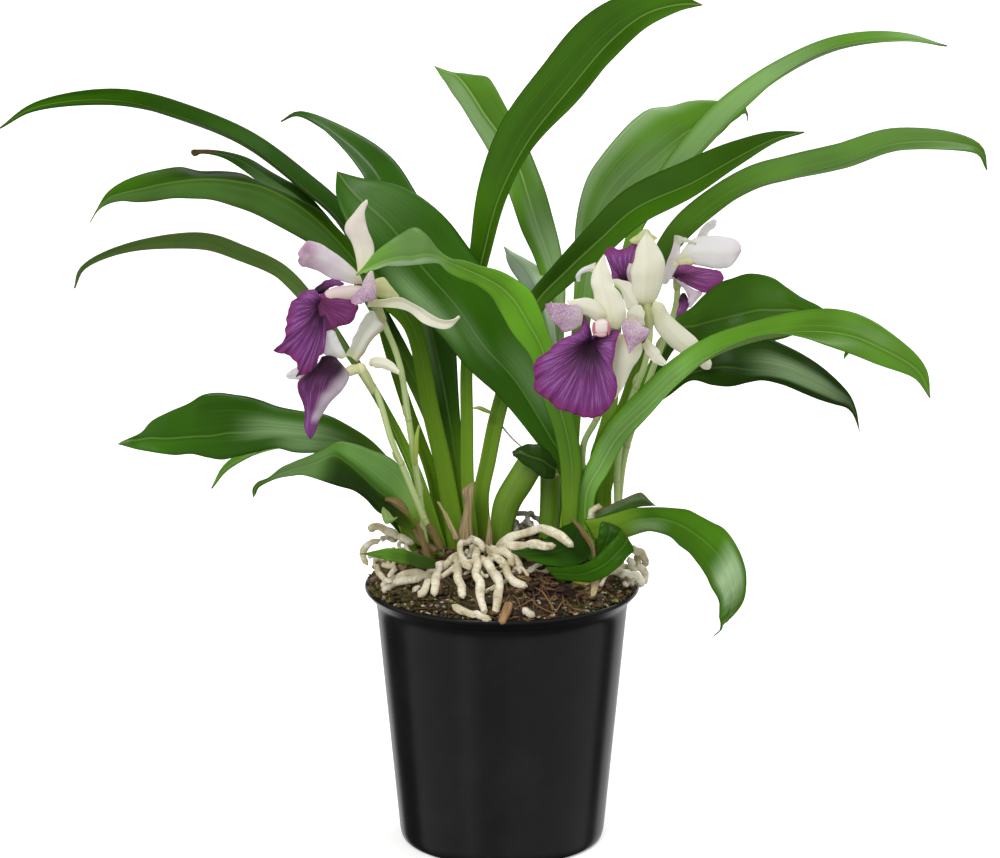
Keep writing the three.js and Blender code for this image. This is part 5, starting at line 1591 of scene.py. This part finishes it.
def petal_edges(spec):
    """A petal's two edges as smooth lines, its depths spread along it and its right edge set back by tilt."""
    table, depths = np.array(spec["rows"], float), np.atleast_1d(spec["depth"])
    depth = np.interp(np.linspace(0, 1, len(table)), np.linspace(0, 1, len(depths)), depths)
    back = spec.get("tilt", 0) / 2
    left = in_mm(table[:, 0], table[:, 1], depth - back, PETAL_READING)
    return catmull(left, 8), catmull(in_mm(table[:, 2], table[:, 3], depth + back, PETAL_READING), 8)


def to_front(normal):
    """A direction, turned round if it points away from the front."""
    return -normal if (normal @ FRONT).sum() < 0 else normal


def petal_grid(spec, seed, columns=PETAL_COLUMNS, wave=PETAL_WAVE):
    """Points of a petal between its two edges, its middle lifted to the front and its edges gently waved."""
    left, right = petal_edges(spec)
    middle, half = (left + right) / 2, (right - left) / 2
    normal = to_front(unit(np.cross(half, np.gradient(middle, axis=0)), 1e-9))
    u = np.linspace(0, 1, len(middle))[:, None]
    s = np.linspace(-1, 1, columns)[None, :]
    size = np.linalg.norm(half, axis=1)
    share = (size / size.max())[:, None]
    bulge = spec["bulge"]
    lift = bulge * share * (1 - s**2) + PETAL_RIB * np.exp(-((s * 4) ** 2)) * share * np.sign(bulge)
    own = np.random.default_rng(seed)
    for k in range(3):
        phase = WAVE * (own.uniform(1.5, 4.5) * u + own.uniform(0, 1)) + k * np.sign(s)
        lift = lift + wave * s**2 * np.sin(phase)
    grid = middle[:, None] + half[:, None] * s[..., None] + normal[:, None] * lift[..., None]
    flat = np.ones_like(lift)
    return grid, u * flat, s * flat


def petal_part(shape, spec, seed):
    """Adds a petal or a scrap of sheath to shape."""
    grid, u, s = petal_grid(spec, seed)
    lilac = spec.get("lilac", (0, 0))
    lilac = np.interp(u, np.linspace(0, 1, len(lilac)), lilac)
    dry = smooth((s - 0.45) / 0.5) * 0.8 * spec.get("rim", 0)
    tip = smooth((u - 0.8) / 0.2) * spec.get("greentip", 0)
    thick = PETAL_THICK * np.clip((1 - np.abs(s)) * 5, 0.35, 1)
    uv = np.stack([0.5 + s / 2, u], 2)
    sheet_part(shape, grid, thick, uv, along=u, lilac=lilac, dry=dry, tip=tip, speckle=spec.get("speckle", 0))


def lip_part(shape, spec, seed):
    """Adds a lip that spreads from its throat, with a frilled margin."""
    centre, *margin = in_mm(*np.array([spec["centre"]] + spec["rows"], float).T, PETAL_READING)
    edge = catmull(margin, 6)
    length = run(edge)[-1]
    count = int(np.clip(length / LIP_POINT_GAP, 24, 170))
    spokes = spread(edge, count) - centre
    normal = to_front(unit(np.cross(spokes[:-1], spokes[1:]).sum(0)))
    r, a = np.linspace(0.03, 1, LIP_RINGS)[:, None], np.linspace(0, 1, count)[None, :]
    reach = np.linalg.norm(spokes, axis=1)[None, :]
    near = reach / reach.max()
    lift = spec["bulge"] * np.sin(np.pi * r**0.8) * near**0.5
    own = np.random.default_rng(seed)
    turns = length / FRILL_GAP
    for k in range(3):
        frill = np.sin(WAVE * (turns * (0.6 + 0.45 * k) * a + own.uniform(0, 1)))
        lift = lift + spec["frill"] * 0.6 * r**5 * frill * near
    for k in range(4):
        ray = np.sin(WAVE * (turns * (1.1 + 0.8 * k) * a + own.uniform(0, 1)))
        lift = lift + LIP_RAY * np.sin(np.pi * r) * ray * near
    ease = r * (1 + 0.005 * np.sin(WAVE * turns * 1.7 * a) * r**6)
    grid = centre + spokes[None] * ease[..., None] + normal * lift[..., None]
    flat = np.ones_like(lift)
    r, a = r * flat, a * flat
    thick = LIP_THICK * np.clip((1.02 - r) * 6, 0.4, 1)
    values = dict(ray=a * length / 60, along=r, margin=r, pale=0.0, magenta=spec.get("magenta", 0))
    sheet_part(shape, grid, thick, np.stack([a, r], 2), **values)
    blob(shape, centre, THROAT_RADIUS, ray=0.1, along=0.2, margin=0.1, pale=0.0, magenta=0.0)


def lip_sheet(shape, spec, seed):
    """Adds a part of a lip between two edges, paler towards its lower right where asked."""
    grid, u, s = petal_grid(spec, seed, LIP_COLUMNS, LIP_WAVE)
    pale = 1.0 if spec["look"] == "lippale" else 0.0
    if spec.get("paleright"):
        pale = 0.85 * smooth((0.9 * s + 1.6 * (u - 0.42)) / 0.6) * smooth((0.76 - u) / 0.12)
        pale = pale * smooth((s + 0.5) / 0.6)
    thick = LIP_THICK * np.clip((1 - np.abs(s)) * 6, 0.4, 1)
    values = dict(ray=(0.5 + s / 2) * 0.5, along=u, margin=np.abs(s), pale=pale, magenta=0.0)
    sheet_part(shape, grid, thick, np.stack([0.5 + s / 2, u], 2), **values)


def blob(shape, centre, radius, stretch=(1, 1, 1), **values):
    """Adds a small rounded body to shape."""
    rings, sides = 12, 16
    polar, angle = np.linspace(0.08, np.pi - 0.08, rings), np.linspace(0, TURN, sides, endpoint=False)
    x, y = np.outer(np.sin(polar), np.cos(angle)), np.outer(np.sin(polar), np.sin(angle))
    ring = np.stack([x, y, np.outer(np.cos(polar), np.ones(sides))], 2)
    ring = (ring * stretch).reshape(-1, 3) * radius + centre
    up = np.array([0, 0, radius * stretch[2]])
    shape.add(np.vstack([ring, centre + up, centre - up]), ring_faces(rings, sides), **values)


def hood_part(shape, mouth):
    """Adds the column's hood seen from the front: a rounded cap with a rosy edge on each side, partly painted
    shade.
    """
    plain = dict(along=0.6, dry=0.0, tip=0.0)
    centre = np.array(mouth, float)
    blob(shape, centre + [0, 0.5, 0.3], 3.5, (1.05, 0.6, 0.95), lilac=0.0, **plain)
    # The rosy edges are partly the column's blush and partly painted shade on the hood's sides
    for side in (-1, 1):
        blob(shape, centre + [3.1 * side, -0.4, 0], 1.1, (0.7, 0.8, 2.7), lilac=1.3, **plain)
    blob(shape, centre + [0, -1.2, -2.4], 2.0, (1.2, 0.6, 0.5), lilac=0.7, **plain)


def flower_pieces(flower, parts, seed):
    """The flower's petals by look, its heart and column, its ovary and its lip."""
    stands_for = ["flower_" + flower]
    mine = [(k, spec) for k, spec in enumerate(PETALS.values()) if spec["flower"] == flower]
    for look, material in PETAL_SKINS.items():
        shape = Shape()
        for k, spec in mine:
            if spec["look"] == look:
                petal_part(shape, spec, seed + k)
        if shape.verts:
            shape.piece(f"petals_{flower}_{look}", material, "petal", stands_for)
            stands_for = []
    shape = Shape()
    tube_part(shape, parts["column"], parts["radius"], 20, steps=26, cap=0.9, lilac=0.25, dry=0.0, tip=0.0)
    blob(shape, np.array(parts["heart"], float), HEART_RADIUS, along=0.3, lilac=0.0, dry=0.0, tip=0.0)
    if flower == "right_front":
        hood_part(shape, parts["column"][-1])
    shape.piece("column_" + flower, parts["skin"], "petal")
    shape = Shape()
    tube_part(shape, parts["ovary"], OVARY_RADIUS, 18, steps=24, lump=0.05, seed=seed, dry=0.25)
    shape.piece("ovary_" + flower, SKINS["ovary"], "stalk")
    shape = Shape()
    for k, spec in enumerate(LIP_FANS.values()):
        if spec["flower"] == flower:
            lip_part(shape, spec, seed + k)
    for k, spec in mine:
        if spec["look"] in ("lip", "lippale"):
            lip_sheet(shape, spec, seed + k)
    shape.piece("lip_frill_" + flower, LIP, "lip", ["lip_" + flower])


for number, (flower, parts) in enumerate(FLOWERS.items()):
    flower_pieces(flower, parts, FLOWER_SEED + 20 * number)


# Pot, mix and crown

POT_HEIGHT = 116
RIM_RADIUS = 60.2
FOOT_RADIUS = 45
WALL_SLOPE = 0.095
WALL = 1.2
POT_FLOOR = 1.6
FLARE_AT = 109
DRAIN_HOLES = 8
DRAIN_RADIUS = 4
DRAIN_CIRCLE = 31
POT_SIDES = 144
FILL_HEIGHT = 115.3
FILL_RADIUS = 57.9
SCRAP_RADIUS = 59.8
HEAP_AT_RIM = 115
HEAP_RISE = 16
# The crown's middle and how far it reaches from there
CROWN_AT = (3, 0, 126)
CROWN_REACH = (44, 24, 10)


def outer(z):
    """The pot's outer radius at a height."""
    return FOOT_RADIUS + WALL_SLOPE * z


def inner(z):
    return outer(z) - WALL


def rounded(points):
    """A polyline with its corners cut twice, its ends kept."""
    points = [np.array(p, float) for p in points]
    for _ in range(2):
        cut = [points[0]]
        for a, b in zip(points[:-1], points[1:]):
            cut += [a * 0.75 + b * 0.25, a * 0.25 + b * 0.75]
        points = cut + [points[-1]]
    return points


def lathe(profile, sides):
    """Vertices and faces of a turned body whose profile starts and ends on the axis."""
    angle = np.linspace(0, 2 * np.pi, sides, endpoint=False)
    verts = [(r * math.cos(a), r * math.sin(a), z) for r, z in profile[1:-1] for a in angle]
    return verts + [(0, 0, profile[0][1]), (0, 0, profile[-1][1])], ring_faces(len(profile) - 2, sides)


def turned_body(name, profile, sides, shift=(0, 0, 0)):
    """A turned body for a moment's use, in millimetres."""
    verts, faces = lathe(profile, sides)
    mesh = bpy.data.meshes.new(name)
    mesh.from_pydata((np.array(verts) + shift).tolist(), [], faces)
    faces_outward(mesh)
    return in_scene(name, mesh)


def pot_piece():
    """The pot: one moulding with a flared and rolled rim, a rounded foot and drain holes."""
    foot = [(40, 0), (FOOT_RADIUS - 3, 0), (FOOT_RADIUS - 0.6, 0.5), (outer(3.4), 3.4), (outer(8), 8)]
    rim = [
        (outer(100), 100), (outer(FLARE_AT), FLARE_AT), (57.4, 111.2), (58.9, 113.0),
        (RIM_RADIUS + 0.1, 114.4), (RIM_RADIUS + 0.1, POT_HEIGHT - 0.2), (RIM_RADIUS - 0.6, POT_HEIGHT + 0.1),
        (RIM_RADIUS - 1.9, POT_HEIGHT - 0.5), (RIM_RADIUS - 3.0, POT_HEIGHT - 2.6),
        (inner(FLARE_AT), FLARE_AT), (inner(100), 100),
    ]
    profile = [(0, 0), (20, 0)] + rounded(foot) + [(outer(z), z) for z in range(16, 96, 10)] + rounded(rim)
    profile += [(inner(z), z) for z in range(90, 6, -12)]
    profile += [(inner(POT_FLOOR + 1), POT_FLOOR + 1), (inner(POT_FLOOR) - 1, POT_FLOOR)]
    body = turned_body("pot_turned", profile + [(20, POT_FLOOR), (0, POT_FLOOR)], POT_SIDES)
    tools = [body]
    hole = [(0, -2), (DRAIN_RADIUS, -2), (DRAIN_RADIUS, 4), (0, 4)]
    for i in range(DRAIN_HOLES):
        angle = 2 * math.pi * i / DRAIN_HOLES
        place = [DRAIN_CIRCLE * math.cos(angle), DRAIN_CIRCLE * math.sin(angle), 0]
        tools.append(turned_body("drain_cutter", hole, 32, place))
        cut = body.modifiers.new("drain", "BOOLEAN")
        cut.operation, cut.object, cut.solver = "DIFFERENCE", tools[-1], "EXACT"
    result = body.evaluated_get(bpy.context.evaluated_depsgraph_get()).to_mesh()
    verts = [tuple(v.co) for v in result.vertices]
    faces = [list(f.vertices) for f in result.polygons]
    for tool in tools:
        bpy.data.objects.remove(tool)
    pot = make_piece("pot_moulding", verts, faces, POT, replaces=["pot"])
    if "sharp_edge" not in pot.data.attributes:
        base = [v.co.z < 0.0017 and v.co.xy.length < 0.04 for v in pot.data.vertices]
        sharp = [base[edge.vertices[0]] and base[edge.vertices[1]] for edge in pot.data.edges]
        pot.data.attributes.new("sharp_edge", "BOOLEAN", "EDGE").data.foreach_set("value", sharp)


def mix_top(r):
    """Height of the loose mix, which fills the pot to its rim. Scraps beyond the mix lie on the rim."""
    heap = HEAP_AT_RIM + HEAP_RISE * (1 - (np.minimum(r, 60) / 58) ** 4)
    return np.where(r > FILL_RADIUS, POT_HEIGHT + 0.2, np.maximum(heap - 1.2, FILL_HEIGHT))


def bumpy(x, y, scale, seed):
    return noise.noise(Vector((x / scale, y / scale, seed)))


def heap_piece():
    """The heaped mix: lumpy on top, and filling the pot below."""
    sides, rings = 220, 56
    turns = [(math.cos(TURN * j / sides), math.sin(TURN * j / sides)) for j in range(sides)]
    verts = []
    for r in np.linspace(0.5, FILL_RADIUS, rings):
        for x, y in [(r * c, r * s) for c, s in turns]:
            lumps = 2.2 * bumpy(x, y, 9, 3.1) + 1.6 * bumpy(x, y, 4, 8.7) + 1.2 * bumpy(x, y, 1.9, 1.3)
            verts.append((x, y, float(mix_top(r)) + lumps * (1 - 0.75 * smooth((r - 52) / 5))))
    below = [(56.2, 112)] + [(inner(z) - 0.5, z) for z in (108, 60, 4)] + [(30, POT_FLOOR + 0.5)]
    verts += [(r * c, r * s, z) for r, z in below for c, s in turns]
    verts += [(0, 0, verts[0][2]), (0, 0, POT_FLOOR + 0.5)]
    make_piece("mix_heap", verts, ring_faces(rings + len(below), sides), MIX, replaces=["potting_mix"])


def crown_piece():
    """Woody crown: a lumpy low mound where the growths come up."""
    rings, sides = 40, 120
    verts = []
    for polar in [0.03 + (math.pi - 0.06) * i / (rings - 1) for i in range(rings)]:
        for a in [TURN * j / sides for j in range(sides)]:
            d = Vector((math.sin(polar) * math.cos(a), math.sin(polar) * math.sin(a), math.cos(polar)))
            swell = 1 + 0.07 * noise.noise(d * 4.0) + 0.06 * noise.noise(d * 9.0)
            bark = 1.3 * noise.noise(d * 22.0) + 0.8 * noise.noise(d * 45.0)
            verts.append([c + reach * v * swell + bark * v for c, reach, v in zip(CROWN_AT, CROWN_REACH, d)])
    x, y, z = CROWN_AT
    verts += [(x, y, z + CROWN_REACH[2]), (x, y, z - CROWN_REACH[2])]
    make_piece("crown_wood", verts, ring_faces(rings, sides), CROWN, replaces=["crown"])


def ground(x, y):
    """Height of the heap or crown at a place."""
    heap = float(mix_top(math.hypot(x, y)))
    inside = 1 - ((x - CROWN_AT[0]) / CROWN_REACH[0]) ** 2 - (y / CROWN_REACH[1]) ** 2
    return max(heap, CROWN_AT[2] + CROWN_REACH[2] * math.sqrt(inside)) if inside > 0 else heap


def spot(own, low, high, x_range=(-60, 60), y_range=(-60, 60)):
    """A random place between two distances from the pot's axis and inside the two ranges."""
    while True:
        r, a = math.sqrt(own.uniform(low**2, high**2)), own.uniform(0, TURN)
        x, y = r * math.cos(a), r * math.sin(a)
        if x_range[0] < x < x_range[1] and y_range[0] < y < y_range[1]:
            return x, y


def chips_piece(name, material, count, seed, length, width, **places):
    """Splinters of bark lying on the heap, each a rough flattened chunk."""
    own, shape = np.random.default_rng(seed), Shape()
    for k in range(count):
        x, y = spot(own, **places)
        turn, tilt = own.uniform(0, TURN), own.normal(0, 0.28)
        size, thick = own.uniform(*length), own.uniform(*width)
        step = np.array([math.cos(turn), math.sin(turn), tilt]) * size / 2
        at = np.array([x, y, ground(x, y) + thick * own.uniform(0.0, 0.7)])
        reach = math.hypot(*(at + step)[:2])
        if reach > SCRAP_RADIUS:
            at[:2] *= (2 * SCRAP_RADIUS - reach) / SCRAP_RADIUS
        path = [at - step, at + own.normal(0, 0.06 * size, 3), at + step]
        radius = [thick * own.uniform(0.5, 0.9), thick, thick * own.uniform(0.4, 0.9)]
        flat = own.uniform(0.4, 0.75)
        tube_part(shape, path, radius, 8, flat, 8, lump=0.35, seed=seed * 1000 + k, cap=0.25)
    shape.piece(name, material, "mix")


def fibres_piece(name, material, count, seed, **places):
    """Thin roots and fibres lying over the mix."""
    own, shape = np.random.default_rng(seed), Shape()
    for k in range(count):
        x, y = spot(own, **places)
        turn, size = own.uniform(0, TURN), own.uniform(6, 19)
        path = []
        for step in np.linspace(-0.5, 0.5, 5):
            px, py = x + math.cos(turn) * size * step, y + math.sin(turn) * size * step
            turn += own.normal(0, 0.25)
            r = math.hypot(px, py)
            if r > FILL_RADIUS:
                px, py = px * FILL_RADIUS / r, py * FILL_RADIUS / r
            path.append([px, py, ground(px, py) + own.uniform(0.2, 2.2)])
        radius = own.uniform(0.16, 0.42)
        values = dict(green=0.0, tip=0.0, dry=1.0)
        tube_part(shape, path, radius, 6, steps=16, lump=0.1, seed=seed * 1000 + k, cap=0.5, **values)
    shape.piece(name, material, "mix")


def moss_piece(name, count, seed, **places):
    """Small cushions of moss: short curled leaves in tufts."""
    own, shape = np.random.default_rng(seed), Shape()
    for k in range(count):
        x, y = spot(own, **places)
        z = ground(x, y)
        for _ in range(5):
            turn, lean, tall = own.uniform(0, TURN), own.uniform(0.3, 1.4), own.uniform(0.9, 2.4)
            out = np.array([math.cos(turn) * lean, math.sin(turn) * lean, 0])
            base = np.array([x, y, z - 0.3]) + out * 0.5
            top = base + out * 1.1 + [0, 0, tall * own.uniform(0.5, 1.0)]
            path = [base, base + out * 0.5 + [0, 0, tall * 0.6], top]
            tube_part(shape, path, (0.45, 0.4, 0.15), 5, steps=5, lump=0.1, seed=k)
    shape.piece(name, MOSS, "mix")


def root_tangle(name, material, middle, extent, count, seed, length, thick):
    """Short crooked roots growing over one another around a point."""
    own, shape = np.random.default_rng(seed), Shape()
    for k in range(count):
        at = np.array(middle, float) + own.uniform(-1, 1, 3) * extent
        heading, path = own.uniform(0, TURN), []
        size = own.uniform(*length)
        for _ in range(5):
            reach = math.hypot(at[0], at[1])
            if reach > FILL_RADIUS:
                at[:2] *= FILL_RADIUS / reach
            at[2] = max(at[2], ground(at[0], at[1]) + 0.3)
            path.append(at.copy())
            at = at + np.array([math.cos(heading), math.sin(heading), own.normal(-0.25, 0.35)]) * size / 4
            heading += own.normal(0, 0.55)
        radius = own.uniform(*thick)
        radius = [radius * own.uniform(0.7, 1.25) for _ in range(5)]
        values = dict(green=0.0, tip=0.0, dry=0.4)
        tube_part(shape, path, radius, 10, steps=26, lump=0.1, seed=seed + k, cap=0.4, **values)
    shape.piece(name, material, "root")


pot_piece()
heap_piece()
crown_piece()
chips_piece("bark_large", CHIP, 230, 11, (5, 14), (1.2, 2.8), low=0, high=55)
chips_piece("bark_small", MIX, 700, 12, (2, 6.5), (0.6, 1.4), low=10, high=57)
chips_piece("bark_rim", CHIP, 300, 18, (1.6, 5), (0.5, 1.1), low=51, high=59.3)
chips_piece("bark_pale", CHIP_PALE, 110, 13, (1.4, 4.2), (0.5, 1.3), low=46, high=59.3, y_range=(-60, 5))
right, left = dict(low=40, high=58.8, x_range=(36, 60)), dict(low=44, high=58.8, x_range=(-60, -20))
chips_piece("moss_pale", PALE_MOSS, 150, 19, (1.4, 4.4), (0.6, 1.5), y_range=(-47, 14), **right)
chips_piece("moss_pale_left", PALE_MOSS, 36, 20, (1.2, 3.2), (0.5, 1.0), y_range=(-60, -6), **left)
fibres_piece("fibres_tan", SKINS["fibre"], 150, 14, low=18, high=57, x_range=(-10, 60))
fibres_piece("fibres_dark", SKINS["sheath"], 130, 15, low=10, high=57)
moss_piece("moss_left", 300, 16, low=36, high=58.8, x_range=(-60, 0), y_range=(-60, -8))
moss_piece("moss_right", 190, 17, low=38, high=59, x_range=(26, 60), y_range=(-60, 30))
# Tangles of roots: skin, middle, reach from there, how many, seed, and the range of their length and radius
TANGLES = {
    "roots_front": (ROOT, (-3, -27, 133), (24, 9, 3), 26, 71, (8, 22), (0.7, 1.5)),
    "roots_right": (ROOT, (54, -14, 125), (6, 12, 4), 9, 72, (7, 16), (0.7, 1.2)),
    "roots_left": (ROOT, (-50, -13, 134), (9, 10, 5), 14, 73, (7, 17), (0.8, 1.5)),
    "roots_back": (ROOT, (5, 30, 130), (34, 10, 3), 22, 74, (8, 20), (0.9, 1.7)),
    "roots_grey": (SKINS["grey"], (8, 6, 143), (6, 4, 5), 16, 75, (6, 13), (0.8, 1.5)),
    # Roots lying in shade at the left take the dark sheath skin: painted shade
    "roots_shaded_left": (SKINS["sheath"], (-34, -14, 133), (10, 8, 3), 16, 76, (6, 15), (0.6, 1.3)),
    "debris_left": (SKINS["sheath"], (-42, -10, 127), (9, 8, 5), 26, 77, (4, 9), (0.8, 1.7)),
}
for name, spec in TANGLES.items():
    root_tangle(name, *spec)


# Scraps and twigs

# Papery sheaths and scraps, outlined as the petals are, with the skin of each
SCRAPS = {
    "sheath_centre": dict(
        look="paper", bulge=1.2, depth=(-14, -11),
        rows=[
            (455.5, 541.9, 474.3, 541.9), (458.8, 529.3, 472.7, 529.3), (462.5, 515.5, 472, 515.5),
            (464.5, 503, 472.9, 502.3), (461.7, 490.9, 474, 489.7), (468.8, 484.7, 475.2, 481.5),
        ],
    ),
    "sheath_thin": dict(
        look="paper", bulge=0.5, depth=(-17, -15),
        rows=[
            (484.9, 545.9, 492.5, 545.9), (486.7, 533.9, 492.2, 535), (488, 523.5, 490.8, 524.2),
            (488.5, 516.4, 489.9, 516.4),
        ],
    ),
    "sheath_stalk_foot": dict(
        look="rust", bulge=1.2, depth=(-24, -27.5),
        rows=[
            (437.6, 549.9, 443.9, 547.5), (430.5, 535, 437.5, 533), (424.5, 524.2, 430.7, 522.2),
            (420.5, 513.7, 425.5, 512.5),
        ],
    ),
    "sheath_foot_left": dict(
        look="rust", bulge=0.8, depth=(-27, -29),
        rows=[
            (424.9, 560.9, 431.8, 559), (421, 545, 427.2, 543.4), (417.2, 529.9, 421.7, 528),
            (414.4, 518.9, 415.5, 518.4),
        ],
    ),
    "sheath_left_cup": dict(
        look="rust", bulge=1.8, depth=(-34, -38),
        rows=[
            (381.3, 498.1, 381.8, 500.2), (389.5, 496.8, 388.9, 502.4), (398.8, 498.9, 396.3, 507.3),
            (404.8, 503.3, 401.4, 511.2), (409.7, 514.3, 408.7, 516.3),
        ],
    ),
    "sheath_left_strip": dict(
        look="straw", bulge=0.5, depth=(-20, -17),
        rows=[
            (437, 501.5, 439.5, 502.4), (442.5, 512.7, 446.7, 513.2), (448, 525.8, 453, 525.3),
            (453.7, 539.5, 459.5, 539),
        ],
    ),
    "sheath_left_low": dict(
        look="sheath", bulge=1.0, depth=(-24, -21),
        rows=[
            (412.5, 529.4, 414.6, 528.2), (416.5, 539.7, 420.3, 533.9), (423.8, 548.9, 428.5, 542),
            (431.8, 553.4, 437.5, 548.7),
        ],
    ),
    "sheath_left_torn": dict(
        look="torn", bulge=0.8, depth=(-36, -38),
        rows=[
            (381, 507.5, 383.6, 507), (382.5, 517.8, 390.6, 513.3), (386, 524, 393.9, 517.8),
            (395, 520.2, 398, 517),
        ],
    ),
    "sheath_right_brown": dict(
        look="rust", bulge=0.8, depth=(-42, -46),
        rows=[
            (568.5, 517.8, 570.7, 519.2), (575.7, 525.7, 578.8, 523.4), (582.9, 536.5, 586.5, 531.7),
            (589.4, 545.9, 593.4, 542.7), (593.7, 558.2, 596.2, 556.8),
        ],
    ),
    "scrap_yellow": dict(
        look="yellow", bulge=0.6, depth=(-45, -49),
        rows=[
            (572.9, 581.7, 573.8, 580.4), (578.2, 583.9, 579.6, 579), (585.3, 584, 586, 578.5),
            (590, 581.8, 590.5, 579.5),
        ],
    ),
    "scrap_yellow_low": dict(
        look="straw", bulge=0.6, depth=(-49, -52),
        rows=[
            (590.5, 581.8, 600, 578), (591, 586.9, 598, 586.2), (590.5, 592.5, 596.8, 592.5),
            (591, 596.7, 594.2, 596.3),
        ],
    ),
    "leaf_stub_right": dict(
        look="stub", bulge=1.0, depth=(-20, -24), rim=1,
        rows=[
            (597, 520, 597, 514), (604.1, 521, 602.9, 508.5), (615, 516, 612.1, 504), (627, 509.9, 625, 498),
            (638, 507.3, 635.7, 493.5), (647.9, 506.3, 641.4, 492.4), (653, 505.3, 647, 497.9),
            (655.9, 505.9, 653, 502.9),
        ],
    ),
}
STANDS_FOR = {"sheath_centre": ["dry_sheath"], "leaf_stub_right": ["leaf_cut_right_back"]}
# Small bracts and stubs: path, radius along it, flatness, skin and slot
TWIGS = {
    "bract_on_petiole": (
        [(-4.5, -3, 193.5), (-7, -5, 195), (-10, -6, 196.5), (-13, -6.5, 196.5)],
        (1.2, 1.8, 1.9, 0.4), 0.5, "bract", "stem",
    ),
    "twig_dry": (
        [(-0.5, 4, 186.5), (4.3, 2, 181.1), (9.6, 0, 176.7)], (0.4, 0.35, 0.4), 1.0, "grey", "sheath",
    ),
    "bract_on_stalk": (
        [(-37.5, -29, 176.5), (-37, -30, 183.5), (-36.5, -30.5, 190), (-35.5, -31, 195)],
        (0.8, 1.2, 1.0, 0.4), 0.45, "bract", "stem",
    ),
    "root_chunk_tan": (
        [(3.4, -56, 123.5), (1.2, -58.5, 118.5), (-0.5, -60.4, 114.7)], (1.8, 2.4, 2.0), 0.7, "fibre", "root",
    ),
}
for number, (name, spec) in enumerate(SCRAPS.items()):
    shape = Shape()
    petal_part(shape, spec, SCRAP_SEED + number)
    shape.piece(name, SKINS[spec["look"]], "sheath", STANDS_FOR.get(name, []))
for number, (name, (path, radius, flat, skin, slot)) in enumerate(TWIGS.items()):
    shape, values = Shape(), dict(dry=0.15, green=0.0, tip=0.0)
    tube_part(shape, path, radius, 14, flat, 22, lump=0.08, seed=TWIG_SEED + number, cap=0.5, **values)
    shape.piece(name, SKINS[skin], slot)


# Stage, light and camera, in metres

FLOOR_HALF = 25.0
AIM = (0, 0, 0.2)
# Each lamp's kind, place and power, with its settings
LAMPS = {
    "key_soft": ("SUN", (-0.7, -1.8, 1.7), 1.5, dict(angle=math.radians(26))),
    "back_soft": ("SUN", (1.1, 1.3, 2.2), 1.15, dict(angle=math.radians(30))),
    "sheen_left": ("AREA", (-1.1, 0.2, 1.5), 0.5, dict(shape="RECTANGLE", size=0.5, size_y=1.0)),
    "sheen_right": ("AREA", (1.2, -0.5, 1.3), 0.9, dict(shape="RECTANGLE", size=0.4, size_y=1.0)),
}
# What reflections show: tall pale panels with dark gaps between. Each stop is a bearing in degrees, 0 at the
# front and 90 at the right, and how bright the room is there.
PANELS = (
    (-180, 0.84), (-150, 0.84), (-143, 0.04), (-108, 0.04), (-101, 0.5), (-46, 0.46), (-40, 0.75), (-32, 0.7),
    (-22, 0.34), (0, 0.36), (10, 0.5), (108, 0.5), (116, 0.06), (130, 0.06), (137, 0.68), (180, 0.84),
)


def floor_material():
    """Pale paper, lit a little from behind."""
    k = Looks("floor_paper")
    cloud = k.noise(k.place(), 3.0, 2.0)
    low, high = (tuple(v * f for v in (0.93, 0.93, 0.925)) + (1.0,) for f in (0.985, 1.0))
    return k.finish(k.mix(cloud, low, high), 0.9, Emission_Color=(1, 1, 1, 1), Emission_Strength=0.3)


floor_mesh = bpy.data.meshes.new("studio_floor")
corners = [(x * FLOOR_HALF, y * FLOOR_HALF, 0) for x, y in ((-1, -1), (1, -1), (1, 1), (-1, 1))]
floor_mesh.from_pydata(corners, [], [[0, 1, 2, 3]])
floor_mesh.materials.append(floor_material())
floor = in_scene("studio_floor", floor_mesh)
floor.visible_diffuse = False
floor.visible_glossy = False

for name, (kind, place, power, settings) in LAMPS.items():
    light = bpy.data.lights.new(name, kind)
    light.energy = power
    for key, value in settings.items():
        setattr(light, key, value)
    lamp = in_scene(name, light)
    lamp.location = place
    lamp.rotation_euler = (Vector(AIM) - Vector(place)).to_track_quat("-Z", "Y").to_euler()

world = bpy.data.worlds.new("studio_world")
bpy.context.scene.world = world
room = Tree(world)
x, y, z = room.node("SeparateXYZ", {0: room.node("TexCoord").outputs["Generated"]}).outputs
bearing = room.maths("ARCTAN2", x, room.times(y, -1.0))
stops = [(0.5 + angle / 360, (level, level, level * 1.02, 1)) for angle, level in PANELS]
panels = room.ramp(room.line(bearing, 1 / (2 * math.pi), 0.5), *stops)
above_floor = room.mix(room.step(z, -0.47, -0.7), panels, (0.08, 0.08, 0.08, 1))
seen = room.mix(room.step(z, 0.15, 0.5), above_floor, (0.1, 0.1, 0.105, 1))
ends = {"From Min": -1.0, "From Max": 1.0, "To Min": 0.56, "To Max": 0.82}
soft = room.grey(room.node("MapRange", {"Value": z, **ends}).outputs[0])
glossy = room.node("LightPath").outputs["Is Glossy Ray"]
room.put(room.nodes["Background"].inputs["Color"], room.mix(glossy, soft, seen))
bpy.context.scene.view_settings.view_transform = "Standard"

camera_data = bpy.data.cameras.new("photo_camera")
camera_data.lens = LENS_MM
camera_data.sensor_width = SENSOR_MM
camera = in_scene("photo_camera", camera_data)
camera.location = [v * MM for v in CAMERA_AT]
camera.rotation_euler = (math.radians(90 - CAMERA_DOWN), 0, 0)
bpy.context.scene.camera = camera
